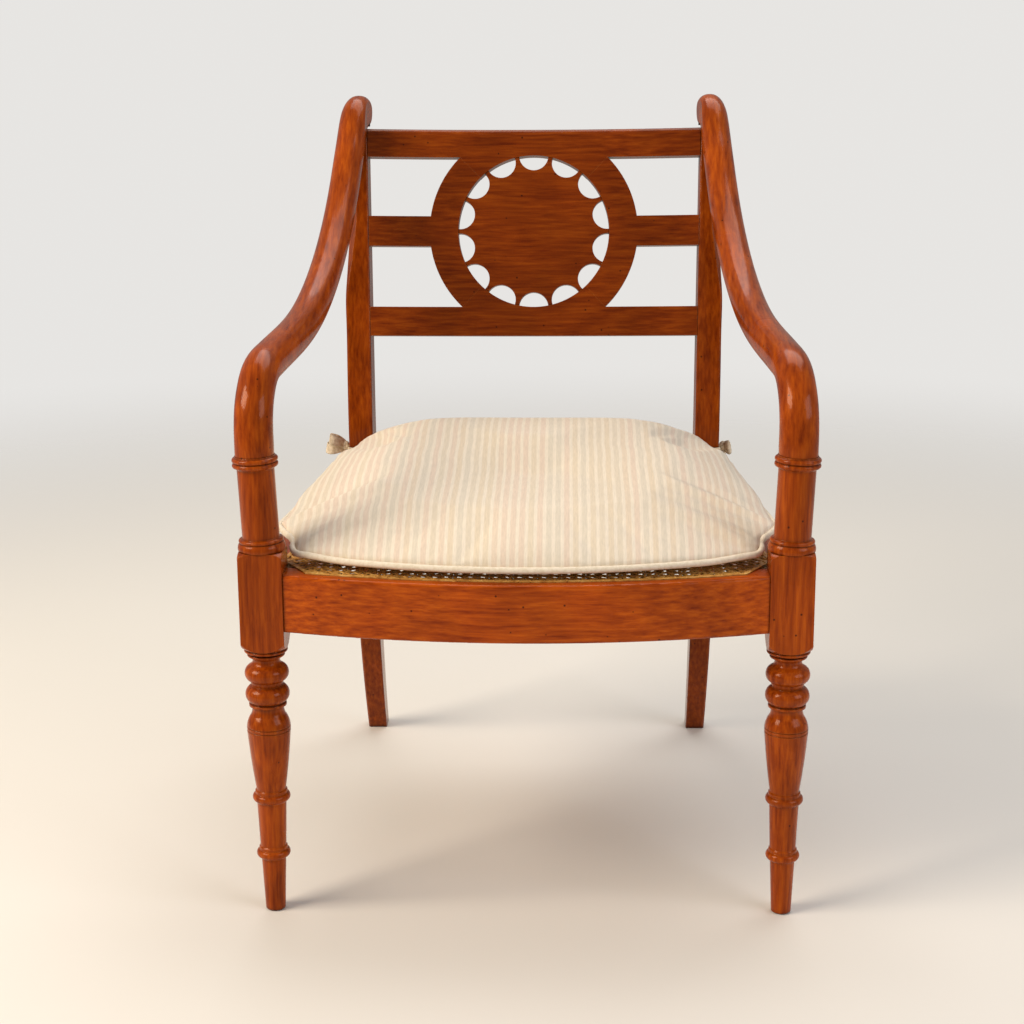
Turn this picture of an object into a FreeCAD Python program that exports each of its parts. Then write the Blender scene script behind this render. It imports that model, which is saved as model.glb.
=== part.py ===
import FreeCAD, Part
import math
import os

from FreeCAD import Matrix, Vector

# Wheelback armchair with a caned seat and a loose tied cushion, in millimetres.
# X runs to the right as seen from the front, Y to the back, Z up.
# The origin is on the floor, under the middle of the chair's width and depth.

# The whole chair
OVERALL_DEPTH = 644.0
LEG_SPREAD = 551.0
SEAT_LENGTH = 452.0
SEAT_HEIGHT = 384.0
HEAD_TOP = 848.5
BACK_RAKE = 11.6

# Front legs: a square block at the seat, turned below it
BLOCK_SIZE = 46.0
BLOCK_BOTTOM = 299.0
BLOCK_ABOVE_SEAT = 23.0
BLOCK_SHOULDER = 14.0
FOOT_DIA = 21.5
FOOT_EASE = 1.5
LOWER_RING_Z = 68.0
LOWER_RING_DIA = 36.5
UPPER_RING_Z = 133.0
UPPER_RING_DIA = 40.5
RING_WIDTH = 12.0
ANKLE_DIA = 26.5
CALF_DIA = 31.5
THIGH_DIA = 46.5
THIGH_DROP = 87.5
THIGH_BAND = 4.0
SCRIBE_DEPTH = 0.8
BELL_NECK_DIA = 34.0
BELL_DROP = 64.0
TORUS_DIA = 47.0
TORUS_WIDTH = 17.5
TORUS_NECK_DIA = 33.0
LOWER_TORUS_DROP = 51.0
UPPER_TORUS_DROP = 27.0
COVE_DIA = 29.0
COLLAR_DIA = 40.0
COLLAR_DROP = 5.0
COLLAR_WIDTH = 4.0

# Arm supports: turned, and leaning outwards
SUPPORT_LEAN = 2.3
SUPPORT_HEIGHT = 101.0
SUPPORT_DIA = 39.0
BASE_BEAD_DIA = 50.0
BASE_BEAD_WIDTH = 8.0
BASE_RING_WIDTH = 4.0
TOP_BEAD_DIA = 48.0
TOP_BEAD_WIDTH = 5.5
SUPPORT_TENON_DIA = 18.0
SUPPORT_TENON_LENGTH = 28.0
ARM_TENON_DIA = 15.0
ARM_TENON_LENGTH = 26.0

# Arms
ARM_WIDTH = 40.5
ARM_HEAD_WIDTH = 33.5
ARM_HEAD_HEIGHT = 42.0
ARM_STRAIGHT = 23.0
ELBOW_RADIUS = 62.0
ARM_SLOPE = 4.5
ARM_SWEEP_RADIUS = 430.0
ARM_CLIMB = 50.0
HEAD_RADIUS = 36.0
ROLL_RADIUS = 30.0
ROLL_ANGLE = 70.0
HEAD_BEHIND_POST_FRONT = 18.0
HEAD_CENTRE_OUT = 12.5
HEAD_TOE_IN = 0.11
ARM_BOW_POWER = 1.05
ARM_FLATNESS = 2.6
PEG_DIA = 5.0
PEG_LENGTH = 22.0
PEG_ABOVE_CREST = 7.0

# Back posts: one board each, from the rear foot to under the arm's head
POST_GAP_FOOT = 409.0
POST_GAP_SEAT = 406.0
POST_GAP_TOP = 418.0
POST_WIDTH = 30.5
POST_WIDTH_FOOT = 24.5
POST_WIDTH_TOP = 25.0
POST_DEPTH = 46.0
POST_DEPTH_TOP = 36.0
FOOT_DEPTH = 29.0
POST_WAIST_Z = 400.0
POST_WAIST_RADIUS = 420.0
SABRE_RADIUS = 900.0
POST_TAPER_START = 606.0
POST_TAPER_END = 690.0
POST_CHAMFER_WIDTH = 9.0
POST_CHAMFER_DEPTH = 18.0
POST_EASE = 2.0
POST_TENON_WIDTH = 12.0
POST_TENON_DEPTH = 20.0
POST_TENON_LENGTH = 17.0

# Back panel, measured up the rake from the wheel's centre
WHEEL_HEIGHT = 684.0
WHEEL_INNER_RADIUS = 95.0
WHEEL_OUTER_RADIUS = 131.0
CREST_BOTTOM = 92.5
CREST_HEIGHT = 35.5
LOWER_RAIL_TOP = 95.0
LOWER_RAIL_HEIGHT = 36.5
MIDDLE_RAIL_HEIGHT = 37.5
BACK_BOW = 14.0
CREST_THICKNESS = 23.0
PANEL_THICKNESS = 20.0
DISC_THICKNESS = 15.0
DISC_SETBACK = 1.0
SCALLOP_RADIUS = 18.4
SCALLOP_COUNT = 14
CREST_ROUND = 8.0
BACK_TENON_LENGTH = 13.0
BACK_TENON_THICKNESS = 9.0
BACK_TENON_SHOULDER = 5.0
WHEEL_DOWEL_DIA = 8.0
WHEEL_DOWEL_LENGTH = 30.0

# Seat frame
RAIL_HEIGHT = 62.0
FRONT_RAIL_THICKNESS = 32.0
FRONT_RAIL_BOW = 36.0
FRONT_RAIL_SETBACK = 2.0
FRONT_RAIL_EDGE = 3.0
SIDE_RAIL_THICKNESS = 40.0
SIDE_RAIL_INSET = 3.0
BACK_RAIL_THICKNESS = 30.0
RAIL_TENON_THICKNESS = 10.0
RAIL_TENON_SHOULDER = 9.0
RAIL_TENON_LENGTH = 18.0
SIDE_TENON_THICKNESS = 8.0
CORNER_BLOCK_LEG = 48.0
CORNER_BLOCK_HEIGHT = 46.0
SCREW_DIA = 4.2
SCREW_HEAD_DIA = 8.4
SCREW_HEAD_HEIGHT = 3.0
SCREW_LENGTH = 34.0
SCREW_BITE = 18.0

# Cane, woven through the seat frame and bound at its edge
CANE_THICKNESS = 2.0
CANE_FRONT_STRIP = 14.0
CANE_LAP = 8.0
CANE_CORNER_IN = 24.0
CANE_CORNER_BACK = 17.0
BINDER_WIDTH = 5.0
BINDER_THICKNESS = 1.0

# Cushion: two panels of striped cloth with a welt in the seam, over a soft core
CUSHION_OVERHANG = 15.0
CUSHION_FRONT_SLOPE = 21.9
CUSHION_FRONT_ROUND = 0.92
CUSHION_CORNER_RADIUS = 11.0
CUSHION_NOTCH_BACK = 8.0
CUSHION_NOTCH_RADIUS = 8.0
CUSHION_EAR_X = 263.0
CUSHION_EAR_BACK = 43.0
CUSHION_EAR_RADIUS = 16.0
CUSHION_REAR_X = 225.5
CUSHION_REAR_RADIUS = 38.0
CUSHION_CROWN = 46.0
CUSHION_SEAM_HEIGHT = 13.0
CUSHION_SEAM_TILT = 2.2
CLOTH_THICKNESS = 1.5
WELT_DIA = 7.0
TIE_WIDTH = 12.0
TIE_THICKNESS = 2.0
TIE_HEIGHT = 16.0
TIE_KNOT = 11.0
TIE_LOOP_LENGTH = 30.0
TIE_LOOP_WIDTH = 17.0
TIE_LOOP_DROOP = 35.0
TIE_LOOP_LIFT = 25.0

# Clearances
JOINT_GAP = 0.15
TENON_END_GAP = 1.0
CANE_GAP = 0.3
SOFT_GAP = 0.4

rake = math.radians(BACK_RAKE)
front_y = -OVERALL_DEPTH / 2
back_y = OVERALL_DEPTH / 2
leg_x = LEG_SPREAD / 2
leg_y = front_y + FRONT_RAIL_BOW - FRONT_RAIL_SETBACK + BLOCK_SIZE / 2
post_y = leg_y + SEAT_LENGTH
block_top = SEAT_HEIGHT + BLOCK_ABOVE_SEAT
rail_bottom = SEAT_HEIGHT - RAIL_HEIGHT
support_top = block_top + SUPPORT_HEIGHT
far = 1000.0


def line(a, b):
    return Part.LineSegment(a, b).toShape()


def arc(a, middle, b):
    return Part.Arc(a, middle, b).toShape()


def prism(edges, along):
    return Part.Face(Part.Wire(edges)).extrude(along)


def polygon(points, along):
    return Part.Face(Part.makePolygon(points + points[:1])).extrude(along)


def box(low, high):
    size = high - low
    return Part.makeBox(size.x, size.y, size.z, low)


def mirrored(shape):
    return shape.mirror(Vector(0, 0, 0), Vector(1, 0, 0))


def turned(steps):
    """A turning about Z. A step is (radius, height), or (radius, height, radius half way) for an arc."""
    radius, height = steps[0]
    here = Vector(radius, 0, height)
    edges = [line(Vector(0, 0, height), here)]
    for step in steps[1:]:
        there = Vector(step[0], 0, step[1])
        if len(step) == 3:
            edges.append(arc(here, Vector(step[2], 0, (here.z + there.z) / 2), there))
        else:
            edges.append(line(here, there))
        here = there
    top = Vector(0, 0, here.z)
    edges.append(line(here, top))
    edges.append(line(top, Vector(0, 0, height)))
    return Part.Face(Part.Wire(edges)).revolve(Vector(0, 0, 0), Vector(0, 0, 1), 360)


def only_solid(shape):
    """The one large solid of a cut shape."""
    return max(shape.Solids, key=lambda solid: solid.Volume)


# Back posts

foot_front = back_y - FOOT_DEPTH
waist_front = Vector(0, post_y, POST_WAIST_Z)
waist_back = Vector(0, post_y + POST_DEPTH, POST_WAIST_Z)


def rake_start(waist):
    """Where the post's waist curve ends and its straight raked part begins."""
    return waist + Vector(
        0, POST_WAIST_RADIUS * (1 - math.cos(rake)), POST_WAIST_RADIUS * math.sin(rake)
    )


def raked(start, z):
    """The point at that height on the straight raked line through start."""
    return start + Vector(0, (z - start.z) * math.tan(rake), z - start.z)


front_line = rake_start(waist_front)
back_line = rake_start(waist_back)
wheel_centre = raked(front_line, WHEEL_HEIGHT)
up_rake = Vector(0, math.sin(rake), math.cos(rake))
into_back = Vector(0, math.cos(rake), -math.sin(rake))
crest_top_w = CREST_BOTTOM + CREST_HEIGHT
post_top = wheel_centre + up_rake * crest_top_w
post_top_back = post_top + into_back * POST_DEPTH_TOP
post_blank_top = post_top.z + POST_DEPTH


def mix(a, b, share):
    return a + (b - a) * share


def gap_half(z):
    """Half the clear width between the posts at a height."""
    if z < POST_WAIST_Z:
        return mix(POST_GAP_FOOT, POST_GAP_SEAT, z / POST_WAIST_Z) / 2
    share = (z - POST_WAIST_Z) / (post_top.z - POST_WAIST_Z)
    return mix(POST_GAP_SEAT, POST_GAP_TOP, share) / 2


def post_width(z):
    if z < POST_WAIST_Z:
        return mix(POST_WIDTH_FOOT, POST_WIDTH, z / POST_WAIST_Z)
    share = (z - POST_TAPER_START) / (POST_TAPER_END - POST_TAPER_START)
    return mix(POST_WIDTH, POST_WIDTH_TOP, min(max(share, 0), 1))


def edge_y(waist, foot_y, top, z):
    """How far back a post's front or back edge is: a sabre curve, the waist and a straight rake."""
    start = rake_start(waist)
    if z <= waist.z:
        run = foot_y - waist.y
        radius = (run ** 2 + waist.z ** 2) / (2 * run)
        return waist.y + radius - math.sqrt(radius ** 2 - (waist.z - z) ** 2)
    if z <= start.z:
        rise = z - waist.z
        return waist.y + POST_WAIST_RADIUS - math.sqrt(POST_WAIST_RADIUS ** 2 - rise ** 2)
    return mix(start.y, top.y, (z - start.z) / (top.z - start.z))


def post_section(z):
    """A level section of the right post, with eased corners and the chamfer that faces the arm."""
    inner = gap_half(z)
    outer = inner + post_width(z)
    front = edge_y(waist_front, foot_front, post_top, z)
    back = edge_y(waist_back, back_y, post_top_back, z)
    share = min(max((z - POST_TAPER_START) / (POST_TAPER_END - POST_TAPER_START), 0), 1)
    across = mix(POST_EASE, POST_CHAMFER_WIDTH, share)
    deep = mix(POST_EASE, POST_CHAMFER_DEPTH, share)
    ease = POST_EASE
    bulge = ease * (1 - math.sqrt(0.5))
    points = [
        Vector(inner + ease, front, z),
        Vector(outer - across, front, z),
        Vector(outer, front + deep, z),
        Vector(outer, back - ease, z),
        Vector(outer - ease, back, z),
        Vector(inner + ease, back, z),
        Vector(inner, back - ease, z),
        Vector(inner, front + ease, z),
    ]
    return Part.Wire(
        [
            line(points[0], points[1]),
            line(points[1], points[2]),
            line(points[2], points[3]),
            arc(points[3], Vector(outer - bulge, back - bulge, z), points[4]),
            line(points[4], points[5]),
            arc(points[5], Vector(inner + bulge, back - bulge, z), points[6]),
            line(points[6], points[7]),
            arc(points[7], Vector(inner + bulge, front + bulge, z), points[0]),
        ]
    )


def stepped(low, high, steps):
    return [mix(low, high, step / steps) for step in range(steps)]


def post_blank():
    """The post before its mortises, cut square to the rake at its top."""
    heights = stepped(0, POST_WAIST_Z, 8)
    heights += stepped(POST_WAIST_Z, front_line.z, 3)
    heights += stepped(front_line.z, POST_TAPER_START, 3)
    heights += stepped(POST_TAPER_START, POST_TAPER_END, 4)
    heights += stepped(POST_TAPER_END, post_blank_top, 4)
    heights.append(post_blank_top)
    body = Part.makeLoft([post_section(z) for z in heights], True, False)
    above = Part.makeBox(far, far, far, Vector(0, -far / 2, 0))
    above.rotate(Vector(0, 0, 0), Vector(1, 0, 0), -BACK_RAKE)
    above.translate(Vector(0, post_top.y, post_top.z))
    return body.cut(above)


post_shape = only_solid(post_blank())

# Back panel. Its own frame has X across, Y up the rake and Z out of the front.

panel_frame = Matrix(
    1, 0, 0, 0,
    0, math.sin(rake), -math.cos(rake), wheel_centre.y,
    0, math.cos(rake), math.sin(rake), wheel_centre.z,
    0, 0, 0, 1,
)
panel_half = gap_half(post_top.z)


def placed(shape):
    moved = shape.copy()
    moved.Placement = FreeCAD.Placement(panel_frame)
    return moved


def slab(thickness, setback):
    """The bowed board that the panel's pieces are sawn from."""
    wide = panel_half + BACK_TENON_LENGTH
    bow = BACK_BOW * (wide / panel_half) ** 2
    out = bow - BACK_BOW - setback
    edges = []
    for z in (out, out - thickness):
        ends = [Vector(-wide, -far / 4, z), Vector(0, -far / 4, z - bow), Vector(wide, -far / 4, z)]
        edges.append(ends)
    front, back = edges
    return prism(
        [
            arc(front[0], front[1], front[2]),
            line(front[2], back[2]),
            arc(back[2], back[1], back[0]),
            line(back[0], front[0]),
        ],
        Vector(0, far / 2, 0),
    )


def sawn(edges, thickness, setback=0.0):
    """An outline in the panel's frame, sawn from the bowed board."""
    blank = prism(edges, Vector(0, 0, far / 5))
    blank.translate(Vector(0, 0, -far / 10))
    return blank.common(slab(thickness, setback))


def radial(x, y, radius):
    return Vector(x, y, 0) * (radius / math.hypot(x, y))


def corner(height):
    """Where the wheel's outer circle meets a straight edge at that height."""
    return Vector(math.sqrt(WHEEL_OUTER_RADIUS ** 2 - height ** 2), height, 0)


crest_corner = corner(CREST_BOTTOM)
lower_corner = corner(-LOWER_RAIL_TOP)
reach = panel_half + BACK_TENON_LENGTH


def rim(radius, angle):
    return Vector(radius * math.cos(angle), radius * math.sin(angle), 0)


def rim_arc(radius, start, end):
    """An arc of the wheel's rim between two angles."""
    return arc(rim(radius, start), rim(radius, (start + end) / 2), rim(radius, end))


crest_joint = math.atan2(crest_corner.y, crest_corner.x)
lower_joint = math.atan2(lower_corner.y, lower_corner.x)


def rail_outline(near, far_edge, joint):
    """A rail right across the back, with the quarter of the wheel's rim that is sawn from it."""
    opposite = math.copysign(math.pi, joint) - joint
    return [
        line(Vector(-reach, far_edge, 0), Vector(-reach, near, 0)),
        line(Vector(-reach, near, 0), rim(WHEEL_OUTER_RADIUS, opposite)),
        line(rim(WHEEL_OUTER_RADIUS, opposite), rim(WHEEL_INNER_RADIUS, opposite)),
        rim_arc(WHEEL_INNER_RADIUS, opposite, joint),
        line(rim(WHEEL_INNER_RADIUS, joint), rim(WHEEL_OUTER_RADIUS, joint)),
        line(rim(WHEEL_OUTER_RADIUS, joint), Vector(reach, near, 0)),
        line(Vector(reach, near, 0), Vector(reach, far_edge, 0)),
        line(Vector(reach, far_edge, 0), Vector(-reach, far_edge, 0)),
    ]


def middle_outline():
    """The right middle rail and the quarter of the rim that is sawn from it."""
    half = MIDDLE_RAIL_HEIGHT / 2
    root = math.asin(half / WHEEL_OUTER_RADIUS)
    return [
        line(rim(WHEEL_INNER_RADIUS, crest_joint), rim(WHEEL_OUTER_RADIUS, crest_joint)),
        rim_arc(WHEEL_OUTER_RADIUS, crest_joint, root),
        line(rim(WHEEL_OUTER_RADIUS, root), Vector(reach, half, 0)),
        line(Vector(reach, half, 0), Vector(reach, -half, 0)),
        line(Vector(reach, -half, 0), rim(WHEEL_OUTER_RADIUS, -root)),
        rim_arc(WHEEL_OUTER_RADIUS, -root, lower_joint),
        line(rim(WHEEL_OUTER_RADIUS, lower_joint), rim(WHEEL_INNER_RADIUS, lower_joint)),
        rim_arc(WHEEL_INNER_RADIUS, lower_joint, crest_joint),
    ]


def back_tenon(y, height, thickness, grow=0.0, longer=0.0):
    """A tenon on the right end of a back rail, or with grow its mortise, in the panel's frame."""
    middle = -thickness / 2
    half_y = height / 2 - BACK_TENON_SHOULDER + grow
    half_z = BACK_TENON_THICKNESS / 2 + grow
    return box(
        Vector(panel_half - BACK_TENON_LENGTH, y - half_y, middle - half_z),
        Vector(panel_half + BACK_TENON_LENGTH + longer, y + half_y, middle + half_z),
    )


past_post = polygon(
    [
        Vector(gap_half(POST_WAIST_Z), -far, POST_WAIST_Z),
        Vector(gap_half(far), -far, far),
        Vector(far, -far, far),
        Vector(far, -far, POST_WAIST_Z),
    ],
    Vector(0, 2 * far, 0),
)


def shouldered(rail):
    """The rail cut off where it meets the posts' inner faces."""
    return only_solid(placed(rail).cut(past_post).cut(mirrored(past_post)))


def with_tenons(rail, tenons):
    for tenon in tenons:
        rail = rail.fuse(tenon)
    return rail.removeSplitter()


crest_blank = sawn(rail_outline(CREST_BOTTOM, crest_top_w, crest_joint), CREST_THICKNESS)
lower_blank = sawn(
    rail_outline(-LOWER_RAIL_TOP, -LOWER_RAIL_TOP - LOWER_RAIL_HEIGHT, lower_joint),
    PANEL_THICKNESS,
)
middle_blank = sawn(middle_outline(), PANEL_THICKNESS)

disc_radius = WHEEL_INNER_RADIUS - JOINT_GAP
disc_blank = Part.makeCylinder(disc_radius, far / 5, Vector(0, 0, -far / 10))
for number in range(SCALLOP_COUNT):
    angle = math.pi / 2 + number * 2 * math.pi / SCALLOP_COUNT
    middle = Vector(math.cos(angle), math.sin(angle), 0) * WHEEL_INNER_RADIUS
    hole = Part.makeCylinder(SCALLOP_RADIUS, far / 5, middle + Vector(0, 0, -far / 10))
    disc_blank = disc_blank.cut(hole)
disc_blank = disc_blank.common(slab(DISC_THICKNESS, DISC_SETBACK))

disc = placed(disc_blank)


def is_crest_crown(edge):
    """Whether an edge is the long one at the top of the crest's front."""
    middle = edge.valueAt((edge.FirstParameter + edge.LastParameter) / 2)
    return edge.Length > panel_half and abs(middle.y - crest_top_w) < 1 and middle.z > -CREST_THICKNESS


crowned = crest_blank.makeFillet(
    CREST_ROUND, [edge for edge in crest_blank.Edges if is_crest_crown(edge)]
)


crest = shouldered(crowned)
lower_rail = shouldered(lower_blank)
middle_rail = shouldered(middle_blank)

# The three rails' tenons, which the posts are mortised for
crest_middle = CREST_BOTTOM + CREST_HEIGHT / 2
lower_middle = -LOWER_RAIL_TOP - LOWER_RAIL_HEIGHT / 2
tenon_sizes = [
    (crest_middle, CREST_HEIGHT, CREST_THICKNESS),
    (0.0, MIDDLE_RAIL_HEIGHT, PANEL_THICKNESS),
    (lower_middle, LOWER_RAIL_HEIGHT, PANEL_THICKNESS),
]
crest_tenon, middle_tenon, lower_tenon = [placed(back_tenon(*sizes)) for sizes in tenon_sizes]
crest = with_tenons(crest, [crest_tenon, mirrored(crest_tenon)])
lower_rail = with_tenons(lower_rail, [lower_tenon, mirrored(lower_tenon)])
middle_rail = with_tenons(middle_rail, [middle_tenon])
post = post_shape
for sizes in tenon_sizes:
    post = post.cut(placed(back_tenon(*sizes, grow=JOINT_GAP, longer=TENON_END_GAP)))

# Dowels across the four glued joints of the wheel's rim


def rim_dowel(wheel_corner, diameter, length):
    radius = (WHEEL_INNER_RADIUS + WHEEL_OUTER_RADIUS) / 2
    middle = radial(wheel_corner.x, wheel_corner.y, radius)
    bow = BACK_BOW * (1 - (middle.x / panel_half) ** 2)
    middle.z = -bow - PANEL_THICKNESS / 2
    along = Vector(-wheel_corner.y, wheel_corner.x, 0).normalize()
    return placed(Part.makeCylinder(diameter / 2, length, middle - along * (length / 2), along))


wheel_dowels = []
for wheel_corner in (crest_corner, lower_corner):
    dowel = rim_dowel(wheel_corner, WHEEL_DOWEL_DIA, WHEEL_DOWEL_LENGTH)
    hole = rim_dowel(
        wheel_corner, WHEEL_DOWEL_DIA + 2 * JOINT_GAP, WHEEL_DOWEL_LENGTH + 2 * TENON_END_GAP
    )
    wheel_dowels += [dowel, mirrored(dowel)]
    crest = crest.cut(hole).cut(mirrored(hole))
    lower_rail = lower_rail.cut(hole).cut(mirrored(hole))
    middle_rail = middle_rail.cut(hole)

# Seat frame: a bowed front rail and three straight ones

block_in = leg_x - BLOCK_SIZE / 2
block_out = leg_x + BLOCK_SIZE / 2
block_front = leg_y - BLOCK_SIZE / 2
block_back = leg_y + BLOCK_SIZE / 2
rail_face = block_front + FRONT_RAIL_SETBACK


def bowed_edge(half, y, z, bow):
    """An arc across the chair, as far forward at its middle as bow says."""
    return arc(Vector(-half, y, z), Vector(0, y - bow, z), Vector(half, y, z))


def front_rail_blank():
    back = rail_face + FRONT_RAIL_THICKNESS
    edges = [
        bowed_edge(block_in, rail_face, rail_bottom, FRONT_RAIL_BOW),
        line(Vector(block_in, rail_face, rail_bottom), Vector(block_in, back, rail_bottom)),
        bowed_edge(block_in, back, rail_bottom, FRONT_RAIL_BOW),
        line(Vector(-block_in, back, rail_bottom), Vector(-block_in, rail_face, rail_bottom)),
    ]
    return prism(edges, Vector(0, 0, RAIL_HEIGHT))


def side_x(y):
    """The outer face of the right side rail."""
    share = (y - block_back) / (post_y - block_back)
    rear = gap_half(SEAT_HEIGHT) + POST_WIDTH - SIDE_RAIL_INSET
    return mix(block_out - SIDE_RAIL_INSET, rear, share)


def side_rail_blank():
    rear = post_y + POST_DEPTH / 3
    points = [
        Vector(side_x(block_back), block_back, rail_bottom),
        Vector(side_x(rear), rear, rail_bottom),
        Vector(side_x(rear) - SIDE_RAIL_THICKNESS, rear, rail_bottom),
        Vector(side_x(block_back) - SIDE_RAIL_THICKNESS, block_back, rail_bottom),
    ]
    return polygon(points, Vector(0, 0, RAIL_HEIGHT))


def cane_outline(inset, z):
    """The edge of the cane, over the inner edges of the rails, cut back round the leg blocks."""
    front = rail_face + CANE_FRONT_STRIP + inset
    corner_x = block_in - CANE_CORNER_IN - inset / 2
    corner_y = block_back + CANE_CORNER_BACK + inset / 2
    rear = post_y + CANE_LAP - inset
    inner = SIDE_RAIL_THICKNESS - CANE_LAP + inset
    share = 1 - (corner_x / block_in) ** 2
    corner = Vector(corner_x, front - FRONT_RAIL_BOW * share, z)
    side = Vector(side_x(corner_y) - inner, corner_y, z)
    back = Vector(side_x(rear) - inner, rear, z)
    left = [Vector(-point.x, point.y, z) for point in (corner, side, back)]
    return Part.Wire(
        [
            arc(left[0], Vector(0, front - FRONT_RAIL_BOW, z), corner),
            line(corner, side),
            line(side, back),
            line(back, left[2]),
            line(left[2], left[1]),
            line(left[1], left[0]),
        ]
    )


cane_bottom = SEAT_HEIGHT - CANE_THICKNESS
cane_panel = Part.Face(cane_outline(0, cane_bottom)).extrude(Vector(0, 0, CANE_THICKNESS))
rebate = Part.Face(cane_outline(-CANE_GAP, cane_bottom)).extrude(Vector(0, 0, far / 10))
binder_out = Part.Face(cane_outline(0, SEAT_HEIGHT)).extrude(Vector(0, 0, BINDER_THICKNESS))
binder_in = Part.Face(cane_outline(BINDER_WIDTH, SEAT_HEIGHT)).extrude(
    Vector(0, 0, BINDER_THICKNESS)
)
cane_binder = binder_out.cut(binder_in)

rail_tenon_low = rail_bottom + RAIL_TENON_SHOULDER
rail_tenon_high = SEAT_HEIGHT - RAIL_TENON_SHOULDER


def rail_tenon(x_low, x_high, y_low, y_high, grow=0.0):
    """A seat rail's tenon, or with grow its mortise."""
    low = Vector(x_low - grow, y_low - grow, rail_tenon_low - grow)
    high = Vector(x_high + grow, y_high + grow, rail_tenon_high + grow)
    return box(low, high)


side_tenon_x = side_x(post_y) - SIDE_TENON_THICKNESS / 2 - POST_EASE
front_tenon = (
    block_in - RAIL_TENON_LENGTH / 3,
    block_in + RAIL_TENON_LENGTH,
    rail_face + RAIL_TENON_SHOULDER,
    rail_face + RAIL_TENON_SHOULDER + RAIL_TENON_THICKNESS,
)
side_front_tenon = (
    leg_x - RAIL_TENON_THICKNESS / 2,
    leg_x + RAIL_TENON_THICKNESS / 2,
    block_back - RAIL_TENON_LENGTH + TENON_END_GAP,
    block_back + RAIL_TENON_LENGTH / 3,
)
side_rear_tenon = (
    side_tenon_x - SIDE_TENON_THICKNESS / 2,
    side_tenon_x + SIDE_TENON_THICKNESS / 2,
    post_y - RAIL_TENON_LENGTH / 3,
    post_y + RAIL_TENON_LENGTH,
)
rear_inner = gap_half(SEAT_HEIGHT)
back_rail_tenon = (
    rear_inner - RAIL_TENON_LENGTH / 3,
    rear_inner + BACK_TENON_LENGTH,
    post_y + BACK_RAIL_THICKNESS / 2 - RAIL_TENON_THICKNESS / 2,
    post_y + BACK_RAIL_THICKNESS / 2 + RAIL_TENON_THICKNESS / 2,
)

back_rail_blank = box(
    Vector(-rear_inner - POST_EASE, post_y, rail_bottom),
    Vector(rear_inner + POST_EASE, post_y + BACK_RAIL_THICKNESS, SEAT_HEIGHT),
)
back_rail_blank = only_solid(back_rail_blank.cut(post_shape).cut(mirrored(post_shape)))
side_rail = only_solid(side_rail_blank().cut(post_shape).cut(back_rail_blank))


def long_edges(shape, z, longest_y):
    """The edges at a height whose middle is in front of a place."""
    found = []
    for edge in shape.Edges:
        middle = edge.valueAt((edge.FirstParameter + edge.LastParameter) / 2)
        if edge.Length > far / 4 and abs(middle.z - z) < 1 and middle.y < longest_y:
            found.append(edge)
    return found


front_rail = front_rail_blank()
front_edges = long_edges(front_rail, SEAT_HEIGHT, rail_face - FRONT_RAIL_BOW / 2)
front_edges += long_edges(front_rail, rail_bottom, rail_face - FRONT_RAIL_BOW / 2)
front_rail = front_rail.makeFillet(FRONT_RAIL_EDGE, front_edges)
front_rail_solid = front_rail
tenon = rail_tenon(*front_tenon)
front_rail = with_tenons(front_rail, [tenon, mirrored(tenon)]).cut(rebate)
side_rail = with_tenons(side_rail, [rail_tenon(*side_front_tenon), rail_tenon(*side_rear_tenon)])
side_rail = side_rail.cut(rebate)
tenon = rail_tenon(*back_rail_tenon)
back_rail = with_tenons(back_rail_blank, [tenon, mirrored(tenon)]).cut(rebate)
post = post.cut(rail_tenon(*side_rear_tenon, grow=JOINT_GAP))
post = post.cut(rail_tenon(*back_rail_tenon, grow=JOINT_GAP))

# Front legs

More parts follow.
